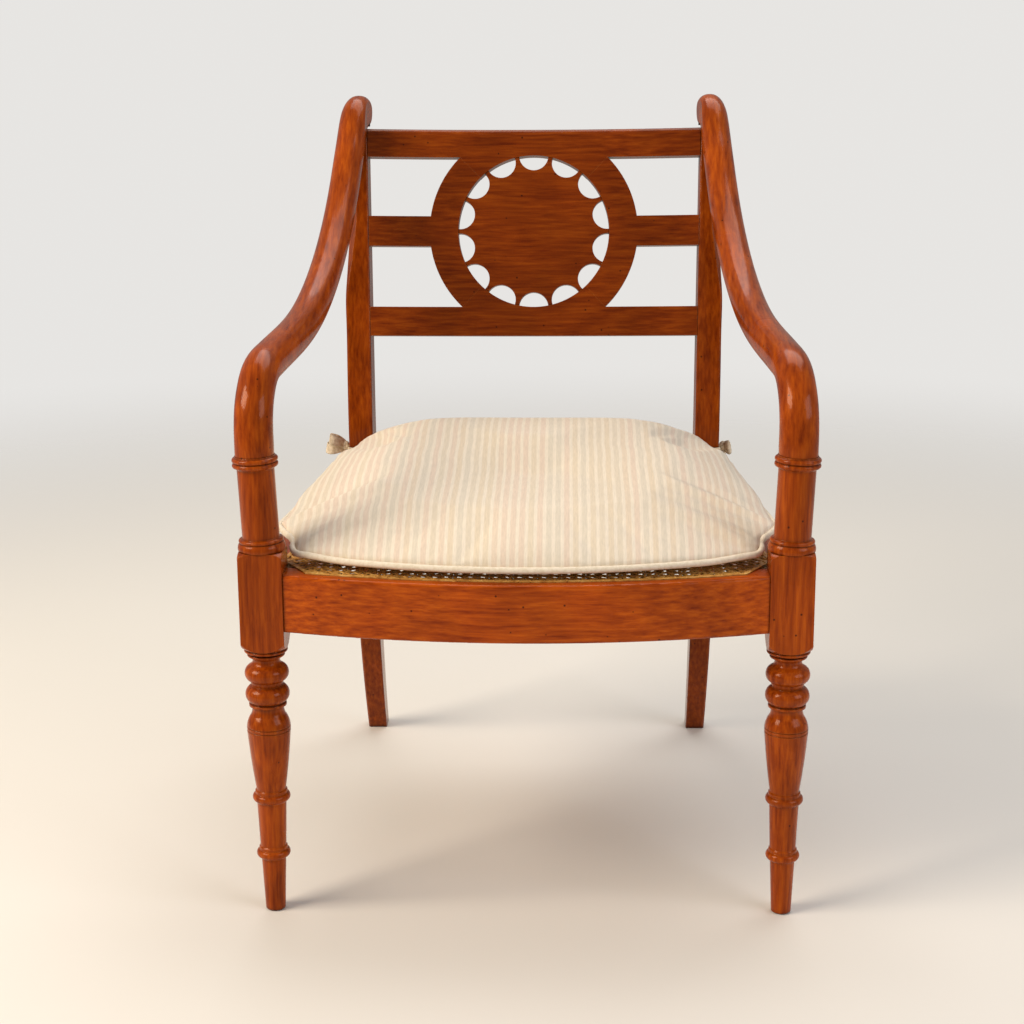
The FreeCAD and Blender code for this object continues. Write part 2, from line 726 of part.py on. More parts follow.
top = BLOCK_BOTTOM
ring_half = RING_WIDTH / 2
torus_half = TORUS_WIDTH / 2
step = 1.5
torus_low = top - LOWER_TORUS_DROP
torus_high = top - UPPER_TORUS_DROP
collar = top - COLLAR_DROP
thigh = top - THIGH_DROP
bell = top - BELL_DROP
scribe = THIGH_DIA / 2 - SCRIBE_DEPTH
leg_turning = [
    (FOOT_DIA / 2 - FOOT_EASE, 0),
    (FOOT_DIA / 2, FOOT_EASE),
    (ANKLE_DIA / 2, LOWER_RING_Z - ring_half - step),
    (LOWER_RING_DIA / 2 - 2 * step, LOWER_RING_Z - ring_half),
    (LOWER_RING_DIA / 2 - 2 * step, LOWER_RING_Z + ring_half - 2 * step, LOWER_RING_DIA / 2),
    (LOWER_RING_DIA / 2 - 2 * step, LOWER_RING_Z + ring_half),
    (ANKLE_DIA / 2 + step / 2, LOWER_RING_Z + ring_half + step),
    (CALF_DIA / 2, UPPER_RING_Z - ring_half - step),
    (UPPER_RING_DIA / 2 - 2 * step, UPPER_RING_Z - ring_half),
    (UPPER_RING_DIA / 2 - 2 * step, UPPER_RING_Z + ring_half - 2 * step, UPPER_RING_DIA / 2),
    (UPPER_RING_DIA / 2 - 2 * step, UPPER_RING_Z + ring_half),
    (CALF_DIA / 2, UPPER_RING_Z + ring_half + step),
    (THIGH_DIA / 2 - SCRIBE_DEPTH / 2, thigh - 2 * THIGH_BAND, (CALF_DIA + THIGH_DIA) / 4 + step / 4),
    (THIGH_DIA / 2, thigh - THIGH_BAND),
    (scribe, thigh - THIGH_BAND + SCRIBE_DEPTH),
    (THIGH_DIA / 2, thigh - THIGH_BAND + 2 * SCRIBE_DEPTH),
    (THIGH_DIA / 2, thigh),
    (scribe, thigh + SCRIBE_DEPTH),
    (THIGH_DIA / 2, thigh + 2 * SCRIBE_DEPTH),
    (BELL_NECK_DIA / 2 + step, mix(thigh, bell, 0.6), THIGH_DIA / 2 - step),
    (BELL_NECK_DIA / 2, bell, BELL_NECK_DIA / 2),
    (BELL_NECK_DIA / 2 + 2 * step, bell + step / 2),
    (BELL_NECK_DIA / 2 + 2 * step, bell + 2 * step),
    (TORUS_NECK_DIA / 2 + step, torus_low - torus_half),
    (TORUS_NECK_DIA / 2 + 2 * step, torus_low + torus_half, TORUS_DIA / 2),
    (TORUS_NECK_DIA / 2, torus_low + torus_half + step),
    (TORUS_NECK_DIA / 2 + step, torus_high - torus_half),
    (TORUS_NECK_DIA / 2 + step, torus_high + torus_half, TORUS_DIA / 2),
    (COVE_DIA / 2 + step, torus_high + torus_half + step),
    (COVE_DIA / 2 + step, collar - COLLAR_WIDTH, COVE_DIA / 2),
    (COLLAR_DIA / 2 - step, collar - COLLAR_WIDTH + step / 2),
    (COLLAR_DIA / 2 - step, collar, COLLAR_DIA / 2),
    (COLLAR_DIA / 2 - 2 * step, collar + step / 2),
    (BLOCK_SIZE / 2 - 2 * step, collar + 2 * step),
    (BLOCK_SIZE / 2 - step, top, BLOCK_SIZE / 2),
]
full_corner = BLOCK_SIZE / 2 * math.sqrt(2) + step
shoulder_turning = [
    (BLOCK_SIZE / 2 - step, top),
    (full_corner, top + BLOCK_SHOULDER, (BLOCK_SIZE / 2 + full_corner) / 2 + step),
    (full_corner, block_top - BLOCK_SHOULDER / 2),
    (BLOCK_SIZE / 2 + 2 * step, block_top, (BLOCK_SIZE / 2 + full_corner) / 2 + 2 * step),
]
block = box(
    Vector(-BLOCK_SIZE / 2, -BLOCK_SIZE / 2, top), Vector(BLOCK_SIZE / 2, BLOCK_SIZE / 2, block_top)
)
upright = [edge for edge in block.Edges if abs(edge.Length - (block_top - top)) < 0.01]
block = block.makeFillet(POST_EASE / 2, upright).common(turned(shoulder_turning))
leg_place = Vector(leg_x, leg_y, 0)
leg_shape = turned(leg_turning).fuse(block).removeSplitter()
leg_shape.translate(leg_place)

# Arm supports, turned upright and then leaned outwards

support_foot = Vector(leg_x, leg_y, block_top)


def leaned(shape):
    """Stands an upright piece on the block's top, leaning outwards."""
    moved = shape.copy()
    moved.rotate(Vector(0, 0, 0), Vector(0, 1, 0), SUPPORT_LEAN)
    moved.translate(support_foot)
    return moved


shaft = SUPPORT_DIA / 2
ring_root = (SUPPORT_DIA + BASE_BEAD_DIA) / 4
bead_low = SUPPORT_HEIGHT - 2 * TOP_BEAD_WIDTH - step
bead_between = TOP_BEAD_DIA / 2 - 1.5 * step
support_turning = [
    (BASE_BEAD_DIA / 2 - step, -SUPPORT_LEAN),
    (BASE_BEAD_DIA / 2 - step, BASE_BEAD_WIDTH, BASE_BEAD_DIA / 2),
    (ring_root, BASE_BEAD_WIDTH + step / 2),
    (ring_root, BASE_BEAD_WIDTH + step / 2 + BASE_RING_WIDTH, BASE_BEAD_DIA / 2 - step),
    (shaft, BASE_BEAD_WIDTH + step + BASE_RING_WIDTH),
    (shaft, bead_low - step),
    (shaft + step, bead_low),
    (bead_between, bead_low + TOP_BEAD_WIDTH, TOP_BEAD_DIA / 2),
    (ARM_WIDTH / 2 + step / 2, bead_low + 2 * TOP_BEAD_WIDTH, TOP_BEAD_DIA / 2),
    (ARM_WIDTH / 2 + step / 2, SUPPORT_HEIGHT),
]


def upright_rod(diameter, low, high):
    return leaned(Part.makeCylinder(diameter / 2, high - low, Vector(0, 0, low)))


support = leaned(turned(support_turning))
support = support.cut(box(Vector(0, -far, 0), Vector(far, far, block_top)))
support = support.fuse(upright_rod(SUPPORT_TENON_DIA, -SUPPORT_TENON_LENGTH, BASE_BEAD_WIDTH))
support = support.fuse(
    upright_rod(ARM_TENON_DIA, SUPPORT_HEIGHT - BASE_BEAD_WIDTH, SUPPORT_HEIGHT + ARM_TENON_LENGTH)
).removeSplitter()
leg = leg_shape.cut(
    upright_rod(
        SUPPORT_TENON_DIA + 2 * JOINT_GAP, -SUPPORT_TENON_LENGTH - TENON_END_GAP, BASE_BEAD_WIDTH
    )
)
leg = leg.cut(rail_tenon(*front_tenon, grow=JOINT_GAP))
leg = leg.cut(rail_tenon(*side_front_tenon, grow=JOINT_GAP))

# Arms. Seen from the side the arm rises, turns back at the elbow, sweeps up and rolls over the post.

slope = math.radians(ARM_SLOPE)
climb = math.radians(ARM_CLIMB)
roll = math.radians(ROLL_ANGLE)
arm_foot = leaned(Part.Vertex(Vector(0, 0, SUPPORT_HEIGHT))).Point
arm_axis = Vector(math.sin(math.radians(SUPPORT_LEAN)), 0, math.cos(math.radians(SUPPORT_LEAN)))
elbow = arm_foot + Vector(0, 0, ARM_STRAIGHT)
head_y = post_top.y + HEAD_BEHIND_POST_FRONT
head_z = HEAD_TOP - ARM_HEAD_HEIGHT / 2
head_x = gap_half(post_top.z) + HEAD_CENTRE_OUT


def toed_in(x, y, start_y):
    """How far out a thing on the arm's head is that turns inwards towards the back from start_y."""
    return x - HEAD_TOE_IN * max(y - start_y, 0)


def straight_runs():
    """The two straight lengths of the arm that bring it over the post at the right height."""
    y = head_y - elbow.y - ELBOW_RADIUS * (1 - math.sin(slope))
    y -= ARM_SWEEP_RADIUS * (math.sin(climb) - math.sin(slope)) + HEAD_RADIUS * math.sin(climb)
    z = head_z - elbow.z - ELBOW_RADIUS * math.cos(slope)
    z -= ARM_SWEEP_RADIUS * (math.cos(slope) - math.cos(climb)) + HEAD_RADIUS * (1 - math.cos(climb))
    spread = math.sin(climb - slope)
    level = (y * math.sin(climb) - z * math.cos(climb)) / spread
    steep = (z * math.cos(slope) - y * math.sin(slope)) / spread
    return level, steep


def arm_line():
    """Points and headings along the arm's side view, from the elbow's start to the rolled end."""
    level, steep = straight_runs()
    found = []
    y, z = elbow.y, elbow.z
    bends = [
        (ELBOW_RADIUS, math.pi / 2, slope, 5, level),
        (ARM_SWEEP_RADIUS, slope, climb, 5, steep),
        (HEAD_RADIUS, climb, 0.0, 4, 0.0),
        (ROLL_RADIUS, 0.0, -roll, 4, 0.0),
    ]
    for radius, start, end, count, run in bends:
        sign = math.copysign(1, end - start)
        for number in range(count):
            heading = mix(start, end, number / count)
            across = sign * radius * (math.sin(heading) - math.sin(start))
            rise = sign * radius * (math.cos(start) - math.cos(heading))
            found.append((y + across, z + rise, heading))
        y += sign * radius * (math.sin(end) - math.sin(start)) + run * math.cos(end)
        z += sign * radius * (math.cos(start) - math.cos(end)) + run * math.sin(end)
        if run:
            found.append((y - run * math.cos(end), z - run * math.sin(end), end))
            found.append((y - run * math.cos(end) / 2, z - run * math.sin(end) / 2, end))
    found.append((y, z, -roll))
    return found


def arm_section(middle, along, width, height, flatness):
    """Round on the outer side; the side that faces the sitter goes from round to flat."""
    across = Vector(1, 0, 0) - along * along.x
    across.normalize()
    upward = along.cross(across)
    points = []
    count = 24
    for number in range(count):
        angle = 2 * math.pi * number / count
        power = 2 / flatness if math.cos(angle) < 0 else 1.0
        x = math.copysign(abs(math.cos(angle)) ** power, math.cos(angle)) * width / 2
        z = math.copysign(abs(math.sin(angle)) ** power, math.sin(angle)) * height / 2
        points.append(middle + across * x + upward * z)
    curve = Part.BSplineCurve()
    curve.interpolate(points, PeriodicFlag=True)
    return Part.Wire(curve.toShape())


def arm_blank():
    path = arm_line()
    places = [arm_foot]
    for y, z, heading in path:
        share = min((y - elbow.y) / (head_y - elbow.y), 1.0)
        x = toed_in(mix(elbow.x, head_x, share ** ARM_BOW_POWER), y, head_y)
        places.append(Vector(x, y, z))
    count = len(places)
    roll_count = 4
    dome = [1.0, 0.97, 0.84, 0.62, 0.34]
    sections = []
    for number, middle in enumerate(places):
        share = min(max(number - 1, 0) / (count - roll_count - 1), 1.0)
        if number == 0:
            along = arm_axis
        elif number == count - 1:
            along = (middle - places[number - 1]).normalize()
        else:
            along = (places[number + 1] - places[number - 1]).normalize()
        shrink = dome[max(number - (count - roll_count - 1), 0)]
        width = mix(ARM_WIDTH, ARM_HEAD_WIDTH, share) * shrink
        height = mix(ARM_WIDTH, ARM_HEAD_HEIGHT, share) * shrink
        flatness = mix(2.0, ARM_FLATNESS, share)
        sections.append(arm_section(middle, along, width, height, flatness))
    return Part.makeLoft(sections, True, False)


head_face_x = gap_half(post_top.z)
inner_side = polygon(
    [
        Vector(0, -far, POST_TAPER_START),
        Vector(head_face_x, -far, POST_TAPER_START),
        Vector(head_face_x, post_top.y, POST_TAPER_START),
        Vector(toed_in(head_face_x, far, post_top.y), far, POST_TAPER_START),
        Vector(0, far, POST_TAPER_START),
    ],
    Vector(0, 0, far),
)
over_crest = placed(
    box(Vector(0, CREST_BOTTOM, -far), Vector(head_face_x, crest_top_w + JOINT_GAP, far))
)
arm_raw = arm_blank()
arm = only_solid(arm_raw.cut(inner_side).cut(over_crest).cut(post_shape))
arm = arm.cut(
    upright_rod(
        ARM_TENON_DIA + 2 * JOINT_GAP,
        SUPPORT_HEIGHT - BASE_BEAD_WIDTH,
        SUPPORT_HEIGHT + ARM_TENON_LENGTH + TENON_END_GAP,
    )
)


def post_tenon(grow=0.0, longer=0.0):
    """The tenon on the post's top, or with grow the mortise for it in the arm's head."""
    middle_x = gap_half(post_top.z) + POST_WIDTH_TOP / 2
    half_x = POST_TENON_WIDTH / 2 + grow
    half_z = POST_TENON_DEPTH / 2 + grow
    middle_z = -POST_DEPTH_TOP / 2
    return placed(
        box(
            Vector(middle_x - half_x, crest_top_w - TENON_END_GAP, middle_z - half_z),
            Vector(middle_x + half_x, crest_top_w + POST_TENON_LENGTH + longer, middle_z + half_z),
        )
    )


def peg(diameter, length):
    """A peg along X from the head's inner face, through the middle of the post's tenon."""
    face_x = toed_in(head_face_x, post_top.y + POST_DEPTH_TOP / 2, post_top.y)
    start = Vector(face_x, crest_top_w + PEG_ABOVE_CREST, -POST_DEPTH_TOP / 2)
    return placed(Part.makeCylinder(diameter / 2, length, start, Vector(1, 0, 0)))


peg_hole = peg(PEG_DIA + 2 * JOINT_GAP, PEG_LENGTH + TENON_END_GAP)
arm = arm.cut(post_tenon(JOINT_GAP, TENON_END_GAP)).cut(peg_hole)
post = post.fuse(post_tenon()).removeSplitter().cut(peg_hole)
arm_peg = peg(PEG_DIA, PEG_LENGTH)

# Corner blocks, each glued into a corner of the seat frame and held by two screws

block_low = cane_bottom - CORNER_BLOCK_HEIGHT
seat_frame = [front_rail_solid, side_rail_blank(), back_rail_blank, leg_shape, post_shape]


def corner_block(points):
    """A block that fills a corner of the seat frame, from points outside the corner."""
    blank = polygon([Vector(x, y, block_low) for x, y in points], Vector(0, 0, CORNER_BLOCK_HEIGHT))
    for piece in seat_frame:
        blank = blank.cut(piece)
    return only_solid(blank)


front_inner_y = rail_face + FRONT_RAIL_THICKNESS
side_inner_front = side_x(block_back) - SIDE_RAIL_THICKNESS
side_inner_rear = side_x(post_y) - SIDE_RAIL_THICKNESS
front_block = corner_block(
    [
        (leg_x, leg_y - BLOCK_SIZE / 2),
        (side_inner_front + BLOCK_SIZE / 4, block_back + CORNER_BLOCK_LEG),
        (block_in - CORNER_BLOCK_LEG, front_inner_y - FRONT_RAIL_BOW / 2),
    ]
)
rear_block = corner_block(
    [
        (side_inner_rear + SIDE_RAIL_THICKNESS / 4, post_y + BACK_RAIL_THICKNESS / 4),
        (side_inner_rear + SIDE_RAIL_THICKNESS / 4, post_y - CORNER_BLOCK_LEG),
        (side_inner_rear - CORNER_BLOCK_LEG, post_y + BACK_RAIL_THICKNESS / 4),
    ]
)


def screw(face_point, into, grow=0.0, longer=0.0):
    """A wood screw that bites into a rail from its inner face; with grow, its hole and counterbore."""
    start = face_point + into * (SCREW_BITE - SCREW_LENGTH)
    shank = Part.makeCylinder(SCREW_DIA / 2 + grow, SCREW_LENGTH + longer, start, into)
    head = Part.makeCone(
        SCREW_HEAD_DIA / 2 + grow, SCREW_DIA / 2 + grow, SCREW_HEAD_HEIGHT, start, into
    )
    solid = shank.fuse(head)
    if longer:
        solid = solid.fuse(
            Part.makeCylinder(SCREW_HEAD_DIA / 2 + grow, CORNER_BLOCK_LEG, start, into * -1)
        )
    return solid


third = CORNER_BLOCK_HEIGHT / 3
into_side = Vector(SEAT_LENGTH, block_out - side_x(post_y), 0).normalize()
side_screw_y = block_back + CORNER_BLOCK_LEG / 2
front_screw_x = block_in - CORNER_BLOCK_LEG / 3
front_screw_y = front_inner_y - FRONT_RAIL_BOW * (1 - (front_screw_x / block_in) ** 2)
rear_side_y = post_y - CORNER_BLOCK_LEG / 2
rear_screw_x = side_inner_rear - CORNER_BLOCK_LEG / 3
screw_places = [
    (Vector(front_screw_x, front_screw_y, block_low + third), Vector(0, -1, 0)),
    (
        Vector(side_x(side_screw_y) - SIDE_RAIL_THICKNESS, side_screw_y, block_low + 2 * third),
        into_side,
    ),
    (Vector(rear_screw_x, post_y, block_low + third), Vector(0, 1, 0)),
    (
        Vector(side_x(rear_side_y) - SIDE_RAIL_THICKNESS, rear_side_y, block_low + 2 * third),
        into_side,
    ),
]
screws = []
for number, (face_point, into) in enumerate(screw_places):
    hole = screw(face_point, into, JOINT_GAP, TENON_END_GAP)
    solid = screw(face_point, into).removeSplitter()
    screws += [solid, mirrored(solid)]
    front_rail = front_rail.cut(hole).cut(mirrored(hole))
    back_rail = back_rail.cut(hole).cut(mirrored(hole))
    side_rail = side_rail.cut(hole)
    front_block = front_block.cut(hole)
    rear_block = rear_block.cut(hole)

# Cushion

cushion_bottom = SEAT_HEIGHT + BINDER_THICKNESS + CANE_GAP
cushion_front = block_front - CUSHION_OVERHANG
welt_room = WELT_DIA + CANE_GAP + SOFT_GAP
tie_low = cushion_bottom + TIE_HEIGHT
tie_post_front = edge_y(waist_front, foot_front, post_top, tie_low)
cushion_back = tie_post_front - SOFT_GAP - TIE_THICKNESS - welt_room
cushion_middle = (cushion_front + cushion_back) / 2
seam_z = cushion_bottom + CUSHION_SEAM_HEIGHT
notch_x = leg_x - max(BLOCK_SIZE, BASE_BEAD_DIA) / 2 - welt_room
notch_y = block_back + CUSHION_NOTCH_BACK
ear_y = block_back + CUSHION_EAR_BACK
front_slope = math.radians(CUSHION_FRONT_SLOPE)
front_radius = CUSHION_FRONT_ROUND * notch_x / math.sin(front_slope)
front_pole = cushion_front - front_radius * (1 / math.cos(front_slope) - 1)


def rounded(corners):
    """A closed wire of straight runs and the arcs that round its corners, from (point, radius) pairs."""
    cuts = []
    count = len(corners)
    for number, (point, radius) in enumerate(corners):
        before = (corners[number - 1][0] - point).normalize()
        after = (corners[(number + 1) % count][0] - point).normalize()
        half = math.acos(max(-1.0, min(1.0, before.dot(after)))) / 2
        back = radius / math.tan(half)
        inward = (before + after).normalize()
        middle = point + inward * (radius / math.sin(half) - radius)
        cuts.append((point + before * back, middle, point + after * back))
    edges = []
    for number, (start, middle, end) in enumerate(cuts):
        edges.append(arc(start, middle, end))
        edges.append(line(end, cuts[(number + 1) % count][0]))
    return Part.Wire(edges)


def cushion_outline(scale, z):
    """The cushion's edge: bowed at the front, stepped in beside the leg blocks, rounded behind."""
    side = [
        (notch_x, front_pole + notch_x * math.tan(front_slope), CUSHION_CORNER_RADIUS),
        (notch_x, notch_y, CUSHION_NOTCH_RADIUS),
        (CUSHION_EAR_X, ear_y, CUSHION_EAR_RADIUS),
        (CUSHION_REAR_X, cushion_back, CUSHION_REAR_RADIUS),
    ]
    corners = [(0.0, front_pole, front_radius)] + side
    corners += [(-x, y, radius) for x, y, radius in reversed(side)]
    found = []
    for x, y, radius in corners:
        y = (y - cushion_middle) * scale + cushion_middle
        found.append((Vector(x * scale, y, z), radius * scale))
    return rounded(found)


def tilted(wire, share=1.0):
    """The wire turned about the front of the seam, so that the seam climbs towards the back."""
    wire.rotate(Vector(0, cushion_front, seam_z), Vector(1, 0, 0), CUSHION_SEAM_TILT * share)
    return wire


# Each ring of the form is a (scale, share of the height) pair
CUSHION_UNDER = ((0.84, 1.0), (0.92, 0.9), (0.965, 0.6), (0.99, 0.25))
CUSHION_OVER = (1.0, 0.99, 0.965, 0.92, 0.85, 0.75, 0.62, 0.46, 0.28, 0.12)


def cushion_form(inset):
    """The filled shape: flat below, crowned above, drawn in to the seam all round."""
    shrink = 1 - inset / CUSHION_EAR_X
    wires = []
    for scale, drop in CUSHION_UNDER:
        z = seam_z - (CUSHION_SEAM_HEIGHT - inset) * drop
        wires.append(tilted(cushion_outline(scale * shrink, z), 1 - drop))
    for scale in CUSHION_OVER:
        rise = (CUSHION_CROWN - inset) * (1 - scale ** 2.6) ** 0.75
        wires.append(tilted(cushion_outline(scale * shrink, seam_z + rise)))
    return Part.makeLoft(wires, True, True)


cushion_cover = cushion_form(0).cut(cushion_form(CLOTH_THICKNESS))
cushion_core = cushion_form(CLOTH_THICKNESS + SOFT_GAP)

welt_path = cushion_outline(1.0, seam_z).makeOffset2D(WELT_DIA / 2 + CANE_GAP)
welt_edges = tilted(welt_path).OrderedEdges
welt_along = welt_edges[0].tangentAt(welt_edges[0].FirstParameter)
welt_circle = Part.makeCircle(WELT_DIA / 2, welt_path.OrderedVertexes[0].Point, welt_along)
cushion_welt = Part.Wire(welt_edges).makePipeShell([Part.Wire(welt_circle)], True, False)
welt_volume = math.pi * (WELT_DIA / 2) ** 2 * welt_path.Length
print("welt: volume over section times length", round(cushion_welt.Volume / welt_volume, 4))

# Ties: a strip of the cover's cloth round each post, ending in a bow on the outer side

tie_inner = gap_half(tie_low)
tie_outer = tie_inner + post_width(tie_low)
ring_low = Vector(tie_inner - SOFT_GAP, tie_post_front - SOFT_GAP, tie_low)
ring_high = Vector(
    tie_outer + SOFT_GAP, tie_post_front + POST_DEPTH + SOFT_GAP, tie_low + TIE_WIDTH
)
skin = Vector(TIE_THICKNESS, TIE_THICKNESS, 0)
tie_strip = box(ring_low - skin, ring_high + skin).cut(box(ring_low, ring_high))
knot_middle = Vector(
    ring_high.x + TIE_THICKNESS + TIE_KNOT / 3,
    tie_post_front + POST_DEPTH / 2,
    tie_low + TIE_WIDTH / 2,
)


def loop_prism(inset):
    ellipse = Part.Ellipse(
        Vector(0, 0, 0), TIE_LOOP_LENGTH / 2 - inset, TIE_LOOP_WIDTH / 2 - inset
    )
    return Part.Face(Part.Wire(ellipse.toShape())).extrude(Vector(0, 0, TIE_WIDTH))


def bow_loop(side):
    """One open loop of the bow, standing out from the knot along the post's side."""
    loop = loop_prism(0).cut(loop_prism(TIE_THICKNESS))
    loop.translate(Vector(TIE_LOOP_LENGTH / 2, 0, -TIE_WIDTH / 2))
    loop.rotate(Vector(0, 0, 0), Vector(0, 0, 1), side * (90 - TIE_LOOP_DROOP))
    loop.rotate(Vector(0, 0, 0), Vector(1, 0, 0), TIE_LOOP_LIFT * side)
    loop.translate(knot_middle)
    return loop


knot_size = Vector(TIE_KNOT, TIE_KNOT, TIE_KNOT)
knot = box(knot_middle - knot_size / 2, knot_middle + knot_size / 2)
knot = knot.makeFillet(TIE_KNOT / 4, knot.Edges)
knot = knot.common(box(Vector(ring_high.x, 0, 0), Vector(far, far, far)))
cushion_tie = tie_strip.fuse(knot).fuse(bow_loop(1)).fuse(bow_loop(-1)).removeSplitter()

# Every piece by name. Left and right are as seen from the front.

pairs = {
    "front_leg": leg,
    "arm_support": support,
    "arm": arm,
    "back_post": post,
    "side_seat_rail": side_rail,
    "middle_back_rail": middle_rail,
    "front_corner_block": front_block,
    "rear_corner_block": rear_block,
    "cushion_tie": cushion_tie,
}
pieces = {
    "front_seat_rail": front_rail,
    "back_seat_rail": back_rail,
    "crest_rail": crest,
    "lower_back_rail": lower_rail,
    "wheel_disc": disc,
    "wheel_dowels": Part.makeCompound(wheel_dowels),
    "arm_pegs": Part.makeCompound([arm_peg, mirrored(arm_peg)]),
    "corner_block_screws": Part.makeCompound(screws),
    "cane_panel": cane_panel,
    "cane_binder": cane_binder,
    "cushion_core": cushion_core,
    "cushion_cover": cushion_cover,
    "cushion_welt": cushion_welt,
}
for name, shape in pairs.items():
    pieces[name + "_right"] = shape
    pieces[name + "_left"] = mirrored(shape)

os.makedirs("parts", exist_ok=True)
for name, shape in sorted(pieces.items()):
    shape.exportStep(f"parts/{name}.step")
    print(name, len(shape.Solids), "valid" if shape.isValid() else "NOT VALID", round(shape.Volume))
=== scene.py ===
import math

import bmesh
import bpy
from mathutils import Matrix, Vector, noise
from mathutils.bvhtree import BVHTree


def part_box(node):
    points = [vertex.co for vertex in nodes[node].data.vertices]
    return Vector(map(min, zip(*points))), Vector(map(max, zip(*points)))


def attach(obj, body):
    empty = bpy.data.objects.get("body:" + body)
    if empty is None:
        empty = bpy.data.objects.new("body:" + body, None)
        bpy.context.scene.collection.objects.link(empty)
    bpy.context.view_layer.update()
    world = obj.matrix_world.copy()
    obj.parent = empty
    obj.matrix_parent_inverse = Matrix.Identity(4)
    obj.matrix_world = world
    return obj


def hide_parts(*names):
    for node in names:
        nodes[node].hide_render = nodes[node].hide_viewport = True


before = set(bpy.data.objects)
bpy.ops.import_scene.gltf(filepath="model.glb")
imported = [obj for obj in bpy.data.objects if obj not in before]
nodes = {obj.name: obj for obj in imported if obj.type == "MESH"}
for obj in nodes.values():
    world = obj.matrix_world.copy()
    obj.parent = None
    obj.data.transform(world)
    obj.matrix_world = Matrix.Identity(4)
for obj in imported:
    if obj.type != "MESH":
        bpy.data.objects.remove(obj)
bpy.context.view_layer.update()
scene = bpy.context.scene


# Show-wood: legs, posts, rails, arms and the wheel in the back.
# Mahogany, sawn and turned, stained red-brown and French polished, then worn: the polish is
# thin on arrises, the surface has small dents and specks of old wax, and corners and recesses
# are darkened with painted shade.
# Real pores are finer than the picture can show, so they are drawn about three times as wide.

MAHOGANY_DARK = "#742705"
MAHOGANY_MID = "#9c4209"
MAHOGANY_LIGHT = "#bb5a10"
MAHOGANY_WORN = "#c8742e"
# Colour of the old wax specks, and also of the painted shade in corners and recesses.
WAX_SPECK_AND_SHADE = "#2a0e05"
SHELLAC_GLINT = "#e0a070"
SHELLAC_FILM = "#f0d8c0"
STREAK_WIDTH = 0.0042
PORE_WIDTH = 0.0014
BLOTCH_WIDTH = 0.08
STREAK_STRETCH = 15.0
WANDERS_PER_METRE = 9.0
SPECKS_PER_METRE = 70.0
DENTS_PER_METRE = 45.0
ARRIS_ROUND = 0.0013
CREVICE_REACH = 0.007


def linear(code):
    """An sRGB hex code as an opaque linear colour."""
    parts = [int(code[start : start + 2], 16) / 255 for start in (1, 3, 5)]
    colour = [p / 12.92 if p <= 0.04045 else ((p + 0.055) / 1.055) ** 2.4 for p in parts]
    return (*colour, 1.0)


def add(tree, kind, inputs=None, **settings):
    """A node of a kind, with its settings, and its inputs set to values or linked to sockets."""
    made = tree.nodes.new(kind)
    for name, value in settings.items():
        setattr(made, name, value)
    for name, value in (inputs or {}).items():
        if isinstance(value, bpy.types.NodeSocket):
            tree.links.new(value, made.inputs[name])
        else:
            made.inputs[name].default_value = value
    return made


def ramp(tree, factor, stops):
    """A colour ramp from (place, hex code) pairs."""
    made = add(tree, "ShaderNodeValToRGB", {"Fac": factor})
    while len(made.color_ramp.elements) < len(stops):
        made.color_ramp.elements.new(0.5)
    for element, (place, code) in zip(made.color_ramp.elements, stops):
        element.position = place
        element.color = linear(code)
    return made.outputs["Color"]


def new_material(name):
    made = bpy.data.materials.new(name)
    made.use_nodes = True
    made.node_tree.nodes.clear()
    return made, made.node_tree


